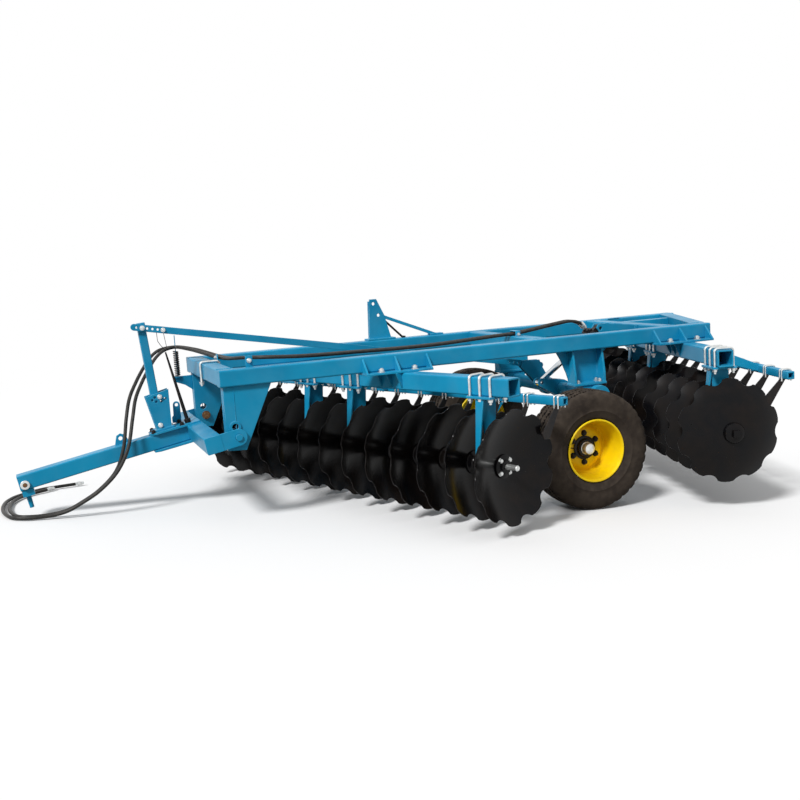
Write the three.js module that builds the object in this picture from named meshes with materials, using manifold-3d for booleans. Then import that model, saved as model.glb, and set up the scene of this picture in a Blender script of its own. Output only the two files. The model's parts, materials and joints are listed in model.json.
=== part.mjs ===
// Offset disc harrow, towed: two skewed gangs of notched discs under a ladder frame, on two
// wheels that a rockshaft raises and lowers, with a hinged tongue held by a levelling bar.
// Millimetres. The machine is laid out level: +X towards the hitch with 0 at the front of the
// rails, +Y to its left, and Z up from the plane that the discs' edges would stand on. At the
// end the whole machine is tipped nose down until its wheels and its foremost disc stand on
// the floor, which is how it rests when it is unhitched with its wheels lowered.
import * as THREE from 'three';
import Module from 'manifold-3d';
import { mergeVertices } from 'three/addons/utils/BufferGeometryUtils.js';

// ---------------------------------------------------------------- driving dimensions

const GAP = 0.3; // between pieces that touch
const SIDES = [['left', 1], ['right', -1]];

const RAIL_SIZE = 100; // square tube
const RAIL_CORNER = 10;
const RAIL_TOP = 952;
const LEFT_RAIL_LENGTH = 3400;
const FRAME_WIDTH = 1200; // over the rails
const REAR_SKEW = THREE.MathUtils.degToRad(24); // of the rear crossbeam, right end trailing
const MIDDLE_BEAM_X = -2080; // front face
const CYLINDER_BEAM_AHEAD = 320; // its front face, ahead of the left rail's end

const DISC_RADIUS = 330;
const DISC_THICKNESS = 6;
const DISH_DEPTH = 95; // from the rim's plane to the middle
const DISC_COUNT = 13;
const DISC_SPACING = 230;
const NOTCH_COUNT = 10;
const NOTCH_DEPTH = 26;
const NOTCH_SHARE = 0.46; // of the rim, taken by the notches
const SPOOL_FLANGE_RADIUS = 68;
const SPOOL_WAIST_RADIUS = 38;
const END_NUT_RADIUS = 34;

const BEAM_WIDTH = 100; // gang beam, hollow
const BEAM_HEIGHT = 105;
const BEAM_WALL = 9;
const BEAM_AHEAD = 20; // its middle ahead of the discs' shaft
const BEAM_OVERHANG = 40; // past the rims of the end discs
const FLANGE_THICKNESS = 12; // plates between rails and gang beams
const LEG_GAPS = [0, 5, 7, 11]; // gaps between discs that hold a bearing leg
const LEG_OFFSET = 45; // towards the rims, so that the dished discs pass
const BEARING_RADIUS = 74;
const BEARING_LENGTH = 70;

// Each gang's origin is the middle of its left disc's rim, at soil level. angle is how far the
// shaft is turned from square across, positive with its right end forward. hollow is +1 where
// the discs' hollow side faces left.
const GANGS = {
  front: { x: -1450, y: 1410, angle: THREE.MathUtils.degToRad(21), hollow: 1 },
  rear: { x: -3030, y: 1230, angle: THREE.MathUtils.degToRad(-16), hollow: -1 },
};

const WHEEL = { x: -2250, z: 255 };
const TYRE_RADIUS = 380;
const TYRE_WIDTH = 264;
const TYRE_CLEAR = 18; // between tyre and wheel arm
const TYRE_SIDES = 36;
const BEAD_RADIUS = 199;
const BEAD_WIDTH = 210;
const STUB_RADIUS = 30;

const SHAFT = { x: -2460, z: 555, radius: 45 }; // the rockshaft that carries the wheel arms
const ARM_THICKNESS = 50;
const ARM_CLEAR = 40; // between the frame's side and a wheel arm
const LEVER_PIN = { x: -2379, z: 714 }; // where the levelling bar ends on its lever
const LIFT_PIN = { x: -2303, z: 610 }; // where the cylinder's rod ends on its lever
const LIFT_Y = 150;

const PIVOT = { x: -84, z: 555, radius: 20 }; // the tongue's hinge on the front posts
const POST_BOTTOM = 478;
const TONGUE_DROP = THREE.MathUtils.degToRad(10.5); // nose down from the rails
const TONGUE_Y = -80; // the drawbar stands right of the middle
const TONGUE_SIZE = 95;
const TONGUE_END = 1252; // from the hinge
const HITCH_BOLT = { x: 1218, z: -14 }; // in the tongue's frame
const YOKE_SIZE = 100;
const YOKE_FRONT = 200; // from the hinge
const GUSSET_FRONT = YOKE_FRONT + 230; // plates that hold the tongue to the yoke
const HOSE_LUG = { x: 606, rise: 36, hole: 13 }; // on the tongue's top
const BAR_PIN = { x: 295, z: 712 }; // levelling bar's front pin, in the tongue's frame
const BAR_HEIGHT = 42;
const BAR_THICKNESS = 16;
const BAR_CLEAR = 7; // between the bar and the strut

const ANCHOR_REACH = 295; // the cylinder's rear pin, ahead of its crossbeam
const ANCHOR_Z = 948;
const BARREL_RADIUS = 45;
const BARREL_SHARE = 0.58; // of the distance between the cylinder's two pins
const ROD_RADIUS = 20;
const ROD_SHARE = 0.57;

const SPRING_COILS = 16; // half coils
const HOSE_RADIUS = 11;
const HOSE_PITCH = 40; // between the two hoses

// ---------------------------------------------------------------- derived places

const RAIL_BOTTOM = RAIL_TOP - RAIL_SIZE;
const HALF_WIDTH = FRAME_WIDTH / 2;
const RAIL_INNER = HALF_WIDTH - RAIL_SIZE;
const CYLINDER_BEAM_X = CYLINDER_BEAM_AHEAD - LEFT_RAIL_LENGTH; // front face
const ANCHOR_PIN = { x: CYLINDER_BEAM_X + ANCHOR_REACH, z: ANCHOR_Z };
const SHAFT_LENGTH = FRAME_WIDTH + 2 * (ARM_CLEAR + ARM_THICKNESS);
const WHEEL_Y = SHAFT_LENGTH / 2 + TYRE_CLEAR + TYRE_WIDTH / 2; // middle of the left wheel
const RIGHT_RAIL_LENGTH = LEFT_RAIL_LENGTH + (FRAME_WIDTH - RAIL_SIZE) * Math.tan(REAR_SKEW);
const FLANGE_TOP = RAIL_BOTTOM - GAP;
const FLANGE_BOTTOM = FLANGE_TOP - FLANGE_THICKNESS;
const BEAM_TOP = FLANGE_BOTTOM - GAP;
const BEAM_BOTTOM = BEAM_TOP - BEAM_HEIGHT;
const GANG_LENGTH = (DISC_COUNT - 1) * DISC_SPACING;

// The nose-down tip at which the tyres and the foremost disc's rim touch one floor.
function restingTip() {
  const gang = GANGS.front;
  const far = { x: gang.x + GANG_LENGTH * Math.sin(gang.angle), lean: Math.sin(gang.angle) };
  let tip = 0;
  for (let i = 0; i < 20; i += 1) {
    const drop = DISC_RADIUS * (1 - Math.sqrt(1 - (far.lean * Math.sin(tip)) ** 2));
    const rise = (DISC_RADIUS - WHEEL.z) * Math.cos(tip) + TYRE_RADIUS - DISC_RADIUS + drop;
    tip = Math.asin(rise / (far.x - WHEEL.x));
  }
  return tip;
}

const TIP = restingTip();

// ---------------------------------------------------------------- materials

const paint = new THREE.MeshStandardMaterial({ color: 0x2788ab, roughness: 0.42, metalness: 0.1 });
const discPaint = new THREE.MeshStandardMaterial({ color: 0x1c1d20, roughness: 0.3, metalness: 0.4 });
const wheelPaint = new THREE.MeshStandardMaterial({ color: 0xd9a92c, roughness: 0.45, metalness: 0.1 });
const tyreRubber = new THREE.MeshStandardMaterial({ color: 0x4d4843, roughness: 0.9, metalness: 0 });
const hoseRubber = new THREE.MeshStandardMaterial({ color: 0x1b1b1c, roughness: 0.6, metalness: 0 });
const springSteel = new THREE.MeshStandardMaterial({ color: 0x17181a, roughness: 0.5, metalness: 0.5 });
const chrome = new THREE.MeshStandardMaterial({ color: 0xc8ccd0, roughness: 0.15, metalness: 1 });
const zinc = new THREE.MeshStandardMaterial({ color: 0xc9cbc8, roughness: 0.4, metalness: 0.9 });

// ---------------------------------------------------------------- joins and cuts

const wasm = await Module();
wasm.setup();

// The solid that a closed geometry bounds.
function solidOf(geometry) {
  const bare = new THREE.BufferGeometry();
  bare.setAttribute('position', geometry.getAttribute('position'));
  if (geometry.index) bare.setIndex(geometry.index);
  const merged = mergeVertices(bare, 1e-3);
  return new wasm.Manifold(new wasm.Mesh({
    numProp: 3,
    vertProperties: new Float32Array(merged.attributes.position.array),
    triVerts: new Uint32Array(merged.index.array),
  }));
}

function geometryOf(solid) {
  const mesh = solid.getMesh();
  const geometry = new THREE.BufferGeometry();
  geometry.setAttribute('position', new THREE.BufferAttribute(mesh.vertProperties, 3));
  geometry.setIndex(new THREE.BufferAttribute(mesh.triVerts, 1));
  geometry.computeVertexNormals();
  return geometry;
}

function joined(...geometries) {
  return geometryOf(geometries.map(solidOf).reduce((whole, next) => whole.add(next)));
}

function cut(base, ...tools) {
  return geometryOf(tools.map(solidOf).reduce((whole, tool) => whole.subtract(tool), solidOf(base)));
}

// ---------------------------------------------------------------- basic forms

// Extrusions run along +Z. These turn one so that its outline lies in another plane.
const ACROSS_X = new THREE.Matrix4().makeBasis(
  new THREE.Vector3(0, 1, 0), new THREE.Vector3(0, 0, 1), new THREE.Vector3(1, 0, 0));
const ACROSS_Y = new THREE.Matrix4().makeBasis(
  new THREE.Vector3(1, 0, 0), new THREE.Vector3(0, 0, 1), new THREE.Vector3(0, -1, 0));

function outline(points) {
  return new THREE.Shape(points.map(([u, v]) => new THREE.Vector2(u, v)));
}

function extrude(shape, depth, curveSegments = 6) {
  return new THREE.ExtrudeGeometry(shape, { depth, bevelEnabled: false, curveSegments });
}

// A plate whose outline lies in X and Z, between two places across the machine.
function sidePlate(points, y0, y1) {
  return extrude(outline(points), y1 - y0).applyMatrix4(ACROSS_Y).translate(0, y1, 0);
}

// A plate whose outline lies in Y and Z.
function endPlate(points, x0, x1) {
  return extrude(outline(points), x1 - x0).applyMatrix4(ACROSS_X).translate(x0, 0, 0);
}

// A plate whose outline lies in X and Y.
function floorPlate(points, z0, z1) {
  return extrude(outline(points), z1 - z0).translate(0, 0, z0);
}

function block(x0, x1, y0, y1, z0, z1) {
  return new THREE.BoxGeometry(x1 - x0, y1 - y0, z1 - z0)
    .translate((x0 + x1) / 2, (y0 + y1) / 2, (z0 + z1) / 2);
}

function roundedRectangle(width, height, corner, path = new THREE.Shape()) {
  const [w, h] = [width / 2 - corner, height / 2 - corner];
  path.absarc(w, h, corner, 0, Math.PI / 2);
  path.absarc(-w, h, corner, Math.PI / 2, Math.PI);
  path.absarc(-w, -h, corner, Math.PI, 1.5 * Math.PI);
  path.absarc(w, -h, corner, 1.5 * Math.PI, 2 * Math.PI);
  return path;
}

// A square tube along X from x0 to x1, centred on the X axis. With a wall it is open.
function boxTube(x0, x1, width, height, corner, wall = 0) {
  const section = roundedRectangle(width, height, corner);
  if (wall) {
    section.holes.push(
      roundedRectangle(width - 2 * wall, height - 2 * wall, corner / 2, new THREE.Path()));
  }
  return extrude(section, x1 - x0, 2).applyMatrix4(ACROSS_X).translate(x0, 0, 0);
}

// A round bar across the machine, from y0 to y1 at (x, z).
function crossRound(x, z, radius, y0, y1, sides = 20) {
  return new THREE.CylinderGeometry(radius, radius, y1 - y0, sides).translate(x, (y0 + y1) / 2, z);
}

// A round bar along X.
function longRound(x0, x1, radius, sides = 20) {
  return new THREE.CylinderGeometry(radius, radius, x1 - x0, sides)
    .rotateZ(-Math.PI / 2).translate((x0 + x1) / 2, 0, 0);
}

// ---------------------------------------------------------------- the assembly

const harrow = new THREE.Group();
const machine = new THREE.Group(); // laid out level, tipped at the end
harrow.add(machine);

function piece(name, geometry, material, parent = machine) {
  const mesh = new THREE.Mesh(geometry, material);
  mesh.name = name;
  parent.add(mesh);
  return mesh;
}

function frameAt(x, y, z, parent = machine) {
  const group = new THREE.Group();
  group.position.set(x, y, z);
  parent.add(group);
  return group;
}

// ---------------------------------------------------------------- frame

function addFrame() {
  const railZ = RAIL_TOP - RAIL_SIZE / 2;
  const lengths = { left: LEFT_RAIL_LENGTH, right: RIGHT_RAIL_LENGTH };
  for (const [side, sign] of SIDES) {
    const rail = boxTube(-lengths[side], 0, RAIL_SIZE, RAIL_SIZE, RAIL_CORNER);
    piece(`rail_${side}`, rail.translate(0, sign * (HALF_WIDTH - RAIL_SIZE / 2), railZ), paint);
  }
  const reach = RAIL_INNER - GAP;
  for (const [name, front] of [['front', 0], ['middle', MIDDLE_BEAM_X], ['cylinder', CYLINDER_BEAM_X]]) {
    const beam = boxTube(-reach, reach, RAIL_SIZE, RAIL_SIZE, RAIL_CORNER).rotateZ(Math.PI / 2);
    piece(`crossbeam_${name}`, beam.translate(front - RAIL_SIZE / 2, 0, railZ), paint);
  }
  const shift = reach * Math.tan(REAR_SKEW);
  const middle = -(LEFT_RAIL_LENGTH + RIGHT_RAIL_LENGTH) / 2;
  const width = RAIL_SIZE / Math.cos(REAR_SKEW);
  const skewed = floorPlate([
    [middle + shift, reach], [middle - shift, -reach],
    [middle - shift + width, -reach], [middle + shift + width, reach],
  ], RAIL_BOTTOM, RAIL_TOP);
  piece('crossbeam_rear', skewed, paint);
  addRearBrace(middle + width, reach);
}

// A tube between the cylinder's crossbeam and the skewed one, along the machine.
function addRearBrace(rearX, reach) {
  const y = -reach * 0.45;
  const half = RAIL_SIZE * 0.4;
  const front = CYLINDER_BEAM_X - RAIL_SIZE - GAP;
  const slope = Math.tan(REAR_SKEW);
  const end = (side) => rearX + (y + side) * slope + GAP;
  const brace = floorPlate([
    [front, y + half], [end(half), y + half], [end(-half), y - half], [front, y - half],
  ], RAIL_BOTTOM + 10, RAIL_TOP - 10);
  piece('brace_rear', brace, paint);
}

// A front post: two side plates that widen upwards, a front plate and a web between them, with
// the tongue's hinge pin and a second, spare hinge hole above it.
const POST = {
  inner: RAIL_INNER, outer: HALF_WIDTH - 25, plate: 15, front: -18, web: -128, rearTop: -304,
};
const POST_BOSS = 9; // proud of the outer plate

function addPosts() {
  const top = RAIL_BOTTOM - GAP;
  const side = [
    [POST.front, top], [POST.rearTop, top], [POST.web, POST_BOTTOM - 6], [POST.front, POST_BOTTOM],
  ];
  const spare = { x: PIVOT.x + 13, z: PIVOT.z + 60 };
  for (const [name, sign] of SIDES) {
    const across = (a, b) => (sign > 0 ? [a, b] : [-b, -a]);
    const outerPlate = sidePlate(side, ...across(POST.outer - POST.plate, POST.outer));
    const innerPlate = sidePlate(side, ...across(POST.inner, POST.inner + POST.plate));
    const between = across(POST.inner + 1, POST.outer - 1);
    const through = across(POST.inner - 8, HALF_WIDTH + 10);
    const front = block(POST.front - POST.plate, POST.front, ...between, POST_BOTTOM, top);
    const web = block(POST.web, POST.web + POST.plate, ...between, POST_BOTTOM, top);
    const boss = crossRound(spare.x, spare.z, 34, ...across(POST.outer - 1, POST.outer + POST_BOSS));
    const spareHole = crossRound(spare.x, spare.z, PIVOT.radius, ...through);
    const pin = crossRound(PIVOT.x, PIVOT.z, PIVOT.radius, ...through, 24);
    const shell = joined(outerPlate, innerPlate, front, web, boss);
    piece(`front_post_${name}`, joined(cut(shell, spareHole), pin), paint);
  }
}

// A rockshaft hanger: two ribs and a web under the rail, a base plate and the bearing block.
function addHangers() {
  const top = RAIL_BOTTOM - GAP;
  const base = SHAFT.z + 78;
  const half = 110;
  const middle = SHAFT.x + 18;
  const bearing = SHAFT.radius + 26;
  for (const [name, sign] of SIDES) {
    const across = (a, b) => (sign > 0 ? [a, b] : [-b, -a]);
    const rib = (x) => endPlate([
      [sign * RAIL_INNER, top], [sign * RAIL_INNER, base], [sign * (HALF_WIDTH - 4), base],
      [sign * (HALF_WIDTH - 4), base + 60], [sign * (HALF_WIDTH - 30), top],
    ], x - 7, x + 7);
    const housing = across(RAIL_INNER + 5, HALF_WIDTH - 10);
    const gusset = sidePlate([
      [middle + half, top], [middle + half + 95, top], [middle + half + 60, top - 60],
      [middle + half + 22, base + 70], [middle + half, base],
    ], ...across(RAIL_INNER + 2, RAIL_INNER + 14));
    const whole = joined(
      rib(middle + half), rib(middle - half),
      block(middle - half, middle + half, ...across(RAIL_INNER, RAIL_INNER + 12), base, top),
      block(middle - half - 10, middle + half + 10, ...across(RAIL_INNER - 4, HALF_WIDTH),
        base - 14, base + 1),
      block(SHAFT.x - bearing, SHAFT.x + bearing, ...housing, SHAFT.z, base - 10),
      crossRound(SHAFT.x, SHAFT.z, bearing, ...housing, 24),
      gusset,
    );
    const through = across(RAIL_INNER - 9, HALF_WIDTH + 9);
    const bore = crossRound(SHAFT.x, SHAFT.z, SHAFT.radius + 0.8, ...through, 24);
    piece(`shaft_hanger_${name}`, cut(whole, bore), paint);
  }
}

// The mast on the right rail: an upright plate with a foot and a raking brace. Its places are
// measured back from its front and up from the rail.
const MAST = { front: -1305, height: 295, depth: 170, shoulder: 175, plate: 14, braceEnd: 555, pad: 12 };

function addMast() {
  const foot = RAIL_TOP + GAP;
  const y = -(HALF_WIDTH - RAIL_SIZE / 2);
  const back = (distance) => MAST.front - distance;
  const plate = sidePlate([
    [back(0), foot], [back(20), foot + MAST.height], [back(70), foot + MAST.height],
    [back(MAST.depth - 45), foot + MAST.shoulder], [back(MAST.depth), foot],
  ], y + 10, y + 10 + MAST.plate);
  const stiffenerTop = foot + MAST.height - 15;
  const stiffener = endPlate([
    [y - 40, foot], [y + 11, foot], [y + 11, stiffenerTop], [y - 10, stiffenerTop],
  ], back(25), back(13));
  const pad = (rear, front, half) => block(back(rear), back(front), y - half, y + half,
    foot, foot + MAST.pad);
  const brace = sidePlate([
    [back(MAST.depth - 55), foot + MAST.shoulder + 3], [back(MAST.depth - 50), foot + MAST.shoulder - 23],
    [back(MAST.braceEnd - 60), foot], [back(MAST.braceEnd), foot],
  ], y + 12, y + 22);
  const holes = [[47, MAST.height - 33], [80, MAST.shoulder + 3]]
    .map(([distance, up]) => crossRound(back(distance), foot + up, 12, y, y + 40, 14));
  const solids = [plate, stiffener, brace, pad(MAST.depth + 25, -15, 45),
    pad(MAST.braceEnd + 20, MAST.braceEnd - 80, 30)];
  piece('mast', cut(joined(...solids), ...holes), paint);
}

// ---------------------------------------------------------------- gangs

// A frame whose +X runs along a gang's shaft to its right end and whose +Y points forward.
function gangFrame(gang, z = 0) {
  const group = frameAt(gang.x, gang.y, z);
  group.rotation.z = gang.angle - Math.PI / 2;
  group.updateMatrix();
  return group;
}

// Where a disc's middle stands along the shaft.
const hubX = (gang, index) => index * DISC_SPACING + gang.hollow * DISH_DEPTH;

// How far a dished disc's face stands from its middle towards the rim, at a radius.
const SPHERE = (DISC_RADIUS ** 2 + DISH_DEPTH ** 2) / (2 * DISH_DEPTH);
const dishAt = (radius) => SPHERE - Math.sqrt(SPHERE ** 2 - radius ** 2);

// The rim: each lobe has three points at the full radius and each notch one at its floor.
function rimPoints() {
  const pitch = (2 * Math.PI) / NOTCH_COUNT;
  const lobe = pitch * (1 - NOTCH_SHARE);
  const points = [];
  for (let i = 0; i < NOTCH_COUNT; i += 1) {
    const tip = i * pitch - Math.PI / 2;
    points.push([tip - lobe / 2, DISC_RADIUS], [tip, DISC_RADIUS], [tip + lobe / 2, DISC_RADIUS]);
    points.push([tip + pitch / 2, DISC_RADIUS - NOTCH_DEPTH]);
  }
  return points;
}

const ring = (count, radius) => Array.from({ length: count },
  (_, i) => [(i * 2 * Math.PI) / count - Math.PI / 2, radius]);

// Triangles between two rings of points at increasing angles, the outer one first.
function bandBetween(outer, inner, outerStart, innerStart) {
  const triangles = [];
  const turnOf = (points, i) => points[i % points.length][0] + 2 * Math.PI * Math.floor(i / points.length);
  let [o, n] = [0, 0];
  while (o < outer.length || n < inner.length) {
    const a = outerStart + (o % outer.length);
    const b = innerStart + (n % inner.length);
    const stepOuter = n >= inner.length
      || (o < outer.length && turnOf(outer, o + 1) <= turnOf(inner, n + 1));
    if (stepOuter) {
      triangles.push([a, outerStart + ((o + 1) % outer.length), b]);
      o += 1;
    } else {
      triangles.push([a, innerStart + ((n + 1) % inner.length), b]);
      n += 1;
    }
  }
  return triangles;
}

// One notched dished disc about the X axis, middle at 0, its hollow side towards -X if hollow is 1.
function discGeometry(hollow) {
  const rings = [rimPoints(), ring(12, 220), ring(6, 105)];
  const positions = [];
  const starts = [];
  for (const back of [0, 1]) {
    for (const points of rings) {
      starts.push(positions.length / 3);
      for (const [turn, radius] of points) {
        const lift = dishAt(radius) + (back - 0.5) * DISC_THICKNESS;
        positions.push(-hollow * lift, radius * Math.cos(turn), radius * Math.sin(turn));
      }
    }
  }
  const indices = [];
  const face = (triangle, flip) => indices.push(...(flip ? [...triangle].reverse() : triangle));
  for (const back of [0, 1]) {
    const flip = (back === 1) === (hollow > 0);
    const base = back * rings.length;
    for (let r = 0; r + 1 < rings.length; r += 1) {
      const band = bandBetween(rings[r], rings[r + 1], starts[base + r], starts[base + r + 1]);
      band.forEach((triangle) => face(triangle, flip));
    }
    const hub = starts[base + 2];
    for (let i = 1; i + 1 < rings[2].length; i += 1) face([hub, hub + i, hub + i + 1], flip);
  }
  const [front, behind] = [starts[0], starts[3]];
  const count = rings[0].length;
  for (let i = 0; i < count; i += 1) {
    const next = (i + 1) % count;
    face([front + i, behind + i, front + next], hollow < 0);
    face([front + next, behind + i, behind + next], hollow < 0);
  }
  const geometry = new THREE.BufferGeometry();
  geometry.setAttribute('position', new THREE.Float32BufferAttribute(positions, 3));
  geometry.setIndex(indices);
  return geometry;
}

// Shaft, spools and end nuts of a gang as one turned form along X.
function spoolGeometry(gang) {
  const [first, last] = [hubX(gang, 0), hubX(gang, DISC_COUNT - 1)];
  const profile = [[0, first - 62], [END_NUT_RADIUS, first - 62], [END_NUT_RADIUS, first - 16],
    [SPOOL_FLANGE_RADIUS, first - 14]];
  for (let i = 0; i + 1 < DISC_COUNT; i += 1) {
    const [a, b] = [hubX(gang, i), hubX(gang, i + 1)];
    profile.push([SPOOL_FLANGE_RADIUS, a + 14], [SPOOL_WAIST_RADIUS, a + 30],
      [SPOOL_WAIST_RADIUS, b - 30], [SPOOL_FLANGE_RADIUS, b - 14]);
  }
  profile.push([SPOOL_FLANGE_RADIUS, last + 14], [END_NUT_RADIUS, last + 16], [END_NUT_RADIUS, last + 62],
    [0, last + 62]);
  const points = profile.map(([r, x]) => new THREE.Vector2(r, -x));
  return new THREE.LatheGeometry(points.reverse(), 10).rotateZ(Math.PI / 2);
}

function addGang(name, gang) {
  const axis = gangFrame(gang, DISC_RADIUS);
  axis.rotateX(Math.atan(Math.cos(gang.angle) * Math.tan(TIP))); // a lobe points straight down
  const discs = Array.from({ length: DISC_COUNT },
    (_, i) => discGeometry(gang.hollow).translate(hubX(gang, i), 0, 0));
  piece(`disc_gang_${name}`, joined(spoolGeometry(gang), ...discs), discPaint, axis);

  const level = gangFrame(gang);
  const beam = boxTube(-BEAM_OVERHANG, GANG_LENGTH + BEAM_OVERHANG, BEAM_WIDTH, BEAM_HEIGHT,
    RAIL_CORNER, BEAM_WALL).translate(0, BEAM_AHEAD, (BEAM_TOP + BEAM_BOTTOM) / 2);
  piece(`gang_beam_${name}`, beam, paint, level);

  LEG_GAPS.forEach((gap, index) => {
    const x = hubX(gang, gap) + DISC_SPACING / 2 - gang.hollow * LEG_OFFSET;
    piece(`bearing_leg_${name}_${index + 1}`, legGeometry().translate(x, 0, 0), paint, level);
  });
  piece(`scraper_bar_${name}`, scraperGeometry(gang), paint, level);
}

// A leg under a gang beam: clamp plate, tapered web with a front flange, and the bearing shell.
function legGeometry() {
  const top = BEAM_BOTTOM - GAP;
  const seat = top - 12;
  const z = DISC_RADIUS;
  const web = endPlate([
    [BEAM_AHEAD - 62, seat + 1], [BEAM_AHEAD - 34, z + 20], [BEAM_AHEAD + 14, z + 20],
    [BEAM_AHEAD + 62, seat + 1],
  ], -7, 7);
  const flange = extrude(outline([[-30, 0], [30, 0], [13, -(seat - z - 60)], [-13, -(seat - z - 60)]]), 10)
    .applyMatrix4(ACROSS_Y).rotateX(0.125).translate(0, BEAM_AHEAD + 66, seat + 0.5);
  const bearing = longRound(-BEARING_LENGTH / 2, BEARING_LENGTH / 2, BEARING_RADIUS, 16).translate(0, 0, z);
  const bore = longRound(-BEARING_LENGTH, BEARING_LENGTH, SPOOL_WAIST_RADIUS + 8, 12).translate(0, 0, z);
  const plate = block(-92, 92, BEAM_AHEAD - 78, BEAM_AHEAD + 78, seat, top);
  return cut(joined(plate, web, flange, bearing), bore);
}

// A square bar behind the discs on three arms from the gang beam, with a blade at each disc's
// hollow side.
const SCRAPER = { y: -385, z: 655, size: 50 };

function scraperGeometry(gang) {
  const rear = BEAM_AHEAD - BEAM_WIDTH / 2 - GAP;
  const bar = boxTube(-60, GANG_LENGTH + 60, SCRAPER.size, SCRAPER.size, 6)
    .translate(0, SCRAPER.y, SCRAPER.z);
  const solids = [bar];
  for (const share of [0.13, 0.53, 0.88]) {
    solids.push(endPlate([
      [rear, BEAM_TOP - 12], [rear, BEAM_BOTTOM + 8], [SCRAPER.y + 10, SCRAPER.z - 20],
      [SCRAPER.y - 20, SCRAPER.z + 20], [SCRAPER.y + 30, SCRAPER.z + 36],
    ], GANG_LENGTH * share - 6, GANG_LENGTH * share + 6));
  }
  for (let i = 0; i < DISC_COUNT; i += 1) {
    const x = i * DISC_SPACING - gang.hollow * 16;
    solids.push(endPlate([
      [SCRAPER.y - 12, SCRAPER.z - 10], [SCRAPER.y + 20, SCRAPER.z - 10],
      [SCRAPER.y + 165, SCRAPER.z - 165], [SCRAPER.y + 105, SCRAPER.z - 205],
    ], x - 4, x + 4));
  }
  return joined(...solids);
}

// ---------------------------------------------------------------- rail to beam brackets

// A flange plate between rail and gang beam, with three gussets up the rail's outer face and
// three down the beam's front face. ahead shifts the plate along the rail from the crossing.
function addBrackets() {
  const half = 215;
  for (const [gangName, gang, ahead] of [['front', GANGS.front, 20], ['rear', GANGS.rear, 55]]) {
    for (const [side, sign] of SIDES) {
      const railY = sign * (HALF_WIDTH - RAIL_SIZE / 2);
      const crossing = gang.x + (gang.y - railY) * Math.tan(gang.angle);
      const middle = crossing + BEAM_AHEAD / Math.cos(gang.angle) + ahead;
      const face = sign * (HALF_WIDTH + GAP);
      const lip = sign * (HALF_WIDTH + 82);
      const inner = sign * (RAIL_INNER - 60);
      const solids = [block(middle - half, middle + half, Math.min(inner, lip), Math.max(inner, lip),
        FLANGE_BOTTOM, FLANGE_TOP)];
      for (const x of [middle - half + 7, middle, middle + half - 7]) {
        solids.push(endPlate([[face, FLANGE_TOP - 1], [lip, FLANGE_TOP - 1], [face, RAIL_TOP - 14]],
          x - 6, x + 6));
      }
      const level = gangFrame(gang);
      const along = (gang.y - railY) / Math.cos(gang.angle);
      const frontFace = BEAM_AHEAD + BEAM_WIDTH / 2 + GAP;
      for (const shift of [-95, 0, 95]) {
        solids.push(endPlate([
          [frontFace, FLANGE_BOTTOM + 1], [frontFace, BEAM_BOTTOM + 12], [frontFace + 46, FLANGE_BOTTOM + 1],
        ], along + shift - 6, along + shift + 6).applyMatrix4(level.matrix));
      }
      machine.remove(level);
      piece(`flange_bracket_${gangName}_${side}`, joined(...solids), paint);
    }
  }
}

// ---------------------------------------------------------------- running gear

function addRunningGear() {
  const outer = SHAFT_LENGTH / 2;
  piece('rockshaft', crossRound(SHAFT.x, SHAFT.z, SHAFT.radius, -outer, outer, 24), paint);
  for (const [side, sign] of SIDES) {
    const across = (a, b) => (sign > 0 ? [a, b] : [-b, -a]);
    piece(`wheel_arm_${side}`, wheelArm(across, outer), paint);
    const hub = frameAt(WHEEL.x, sign * WHEEL_Y, WHEEL.z);
    hub.rotation.set(sign > 0 ? 0 : Math.PI, -sign * TIP, 0); // a facet's corner straight down
    piece(`rim_${side}`, rimGeometry(), wheelPaint, hub);
    piece(`tyre_${side}`, tyreGeometry(), tyreRubber, hub);
  }
  piece('levelling_lever', levellingLever(), paint);
  piece('lift_lever', liftLever(), paint);
}

// The outline of a bar with round ends of two radii, from (x0, z0) to (x1, z1).
function roundEnded(x0, z0, r0, x1, z1, r1) {
  const away = Math.atan2(z1 - z0, x1 - x0);
  const shape = new THREE.Shape();
  shape.absarc(x0, z0, r0, away + Math.PI / 2, away + 1.5 * Math.PI);
  shape.absarc(x1, z1, r1, away - Math.PI / 2, away + Math.PI / 2);
  shape.closePath();
  return shape;
}

function wheelArm(across, outer) {
  const [y0, y1] = across(outer - ARM_THICKNESS, outer);
  const shape = roundEnded(SHAFT.x, SHAFT.z, SHAFT.radius + 22, WHEEL.x, WHEEL.z, 52);
  const arm = extrude(shape, y1 - y0, 7).applyMatrix4(ACROSS_Y).translate(0, y1, 0);
  const eye = crossRound(SHAFT.x, SHAFT.z, SHAFT.radius + GAP, y0 - 5, y1 + 5, 24);
  const stub = crossRound(WHEEL.x, WHEEL.z, STUB_RADIUS, ...across(outer - 4, WHEEL_Y + 4));
  return joined(cut(arm, eye), stub);
}

function levellingLever() {
  const half = BAR_THICKNESS / 2 + 6;
  const y = barY();
  const shape = [
    [SHAFT.x - 52, SHAFT.z - 22], [SHAFT.x + 20, SHAFT.z - 55],
    [LEVER_PIN.x + 128, LEVER_PIN.z - 2], [LEVER_PIN.x + 112, LEVER_PIN.z + 38],
    [LEVER_PIN.x - 20, LEVER_PIN.z + 34], [LEVER_PIN.x - 34, LEVER_PIN.z - 8],
  ];
  const cheeks = [1, -1].map((s) => sidePlate(shape, y + s * (half + 5) - 5, y + s * (half + 5) + 5));
  const sleeve = crossRound(SHAFT.x, SHAFT.z, SHAFT.radius + 16, y - half - 10, y + half + 10, 24);
  const bore = crossRound(SHAFT.x, SHAFT.z, SHAFT.radius + GAP, y - 60, y + 60, 24);
  return cut(joined(...cheeks, sleeve), bore);
}

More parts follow.
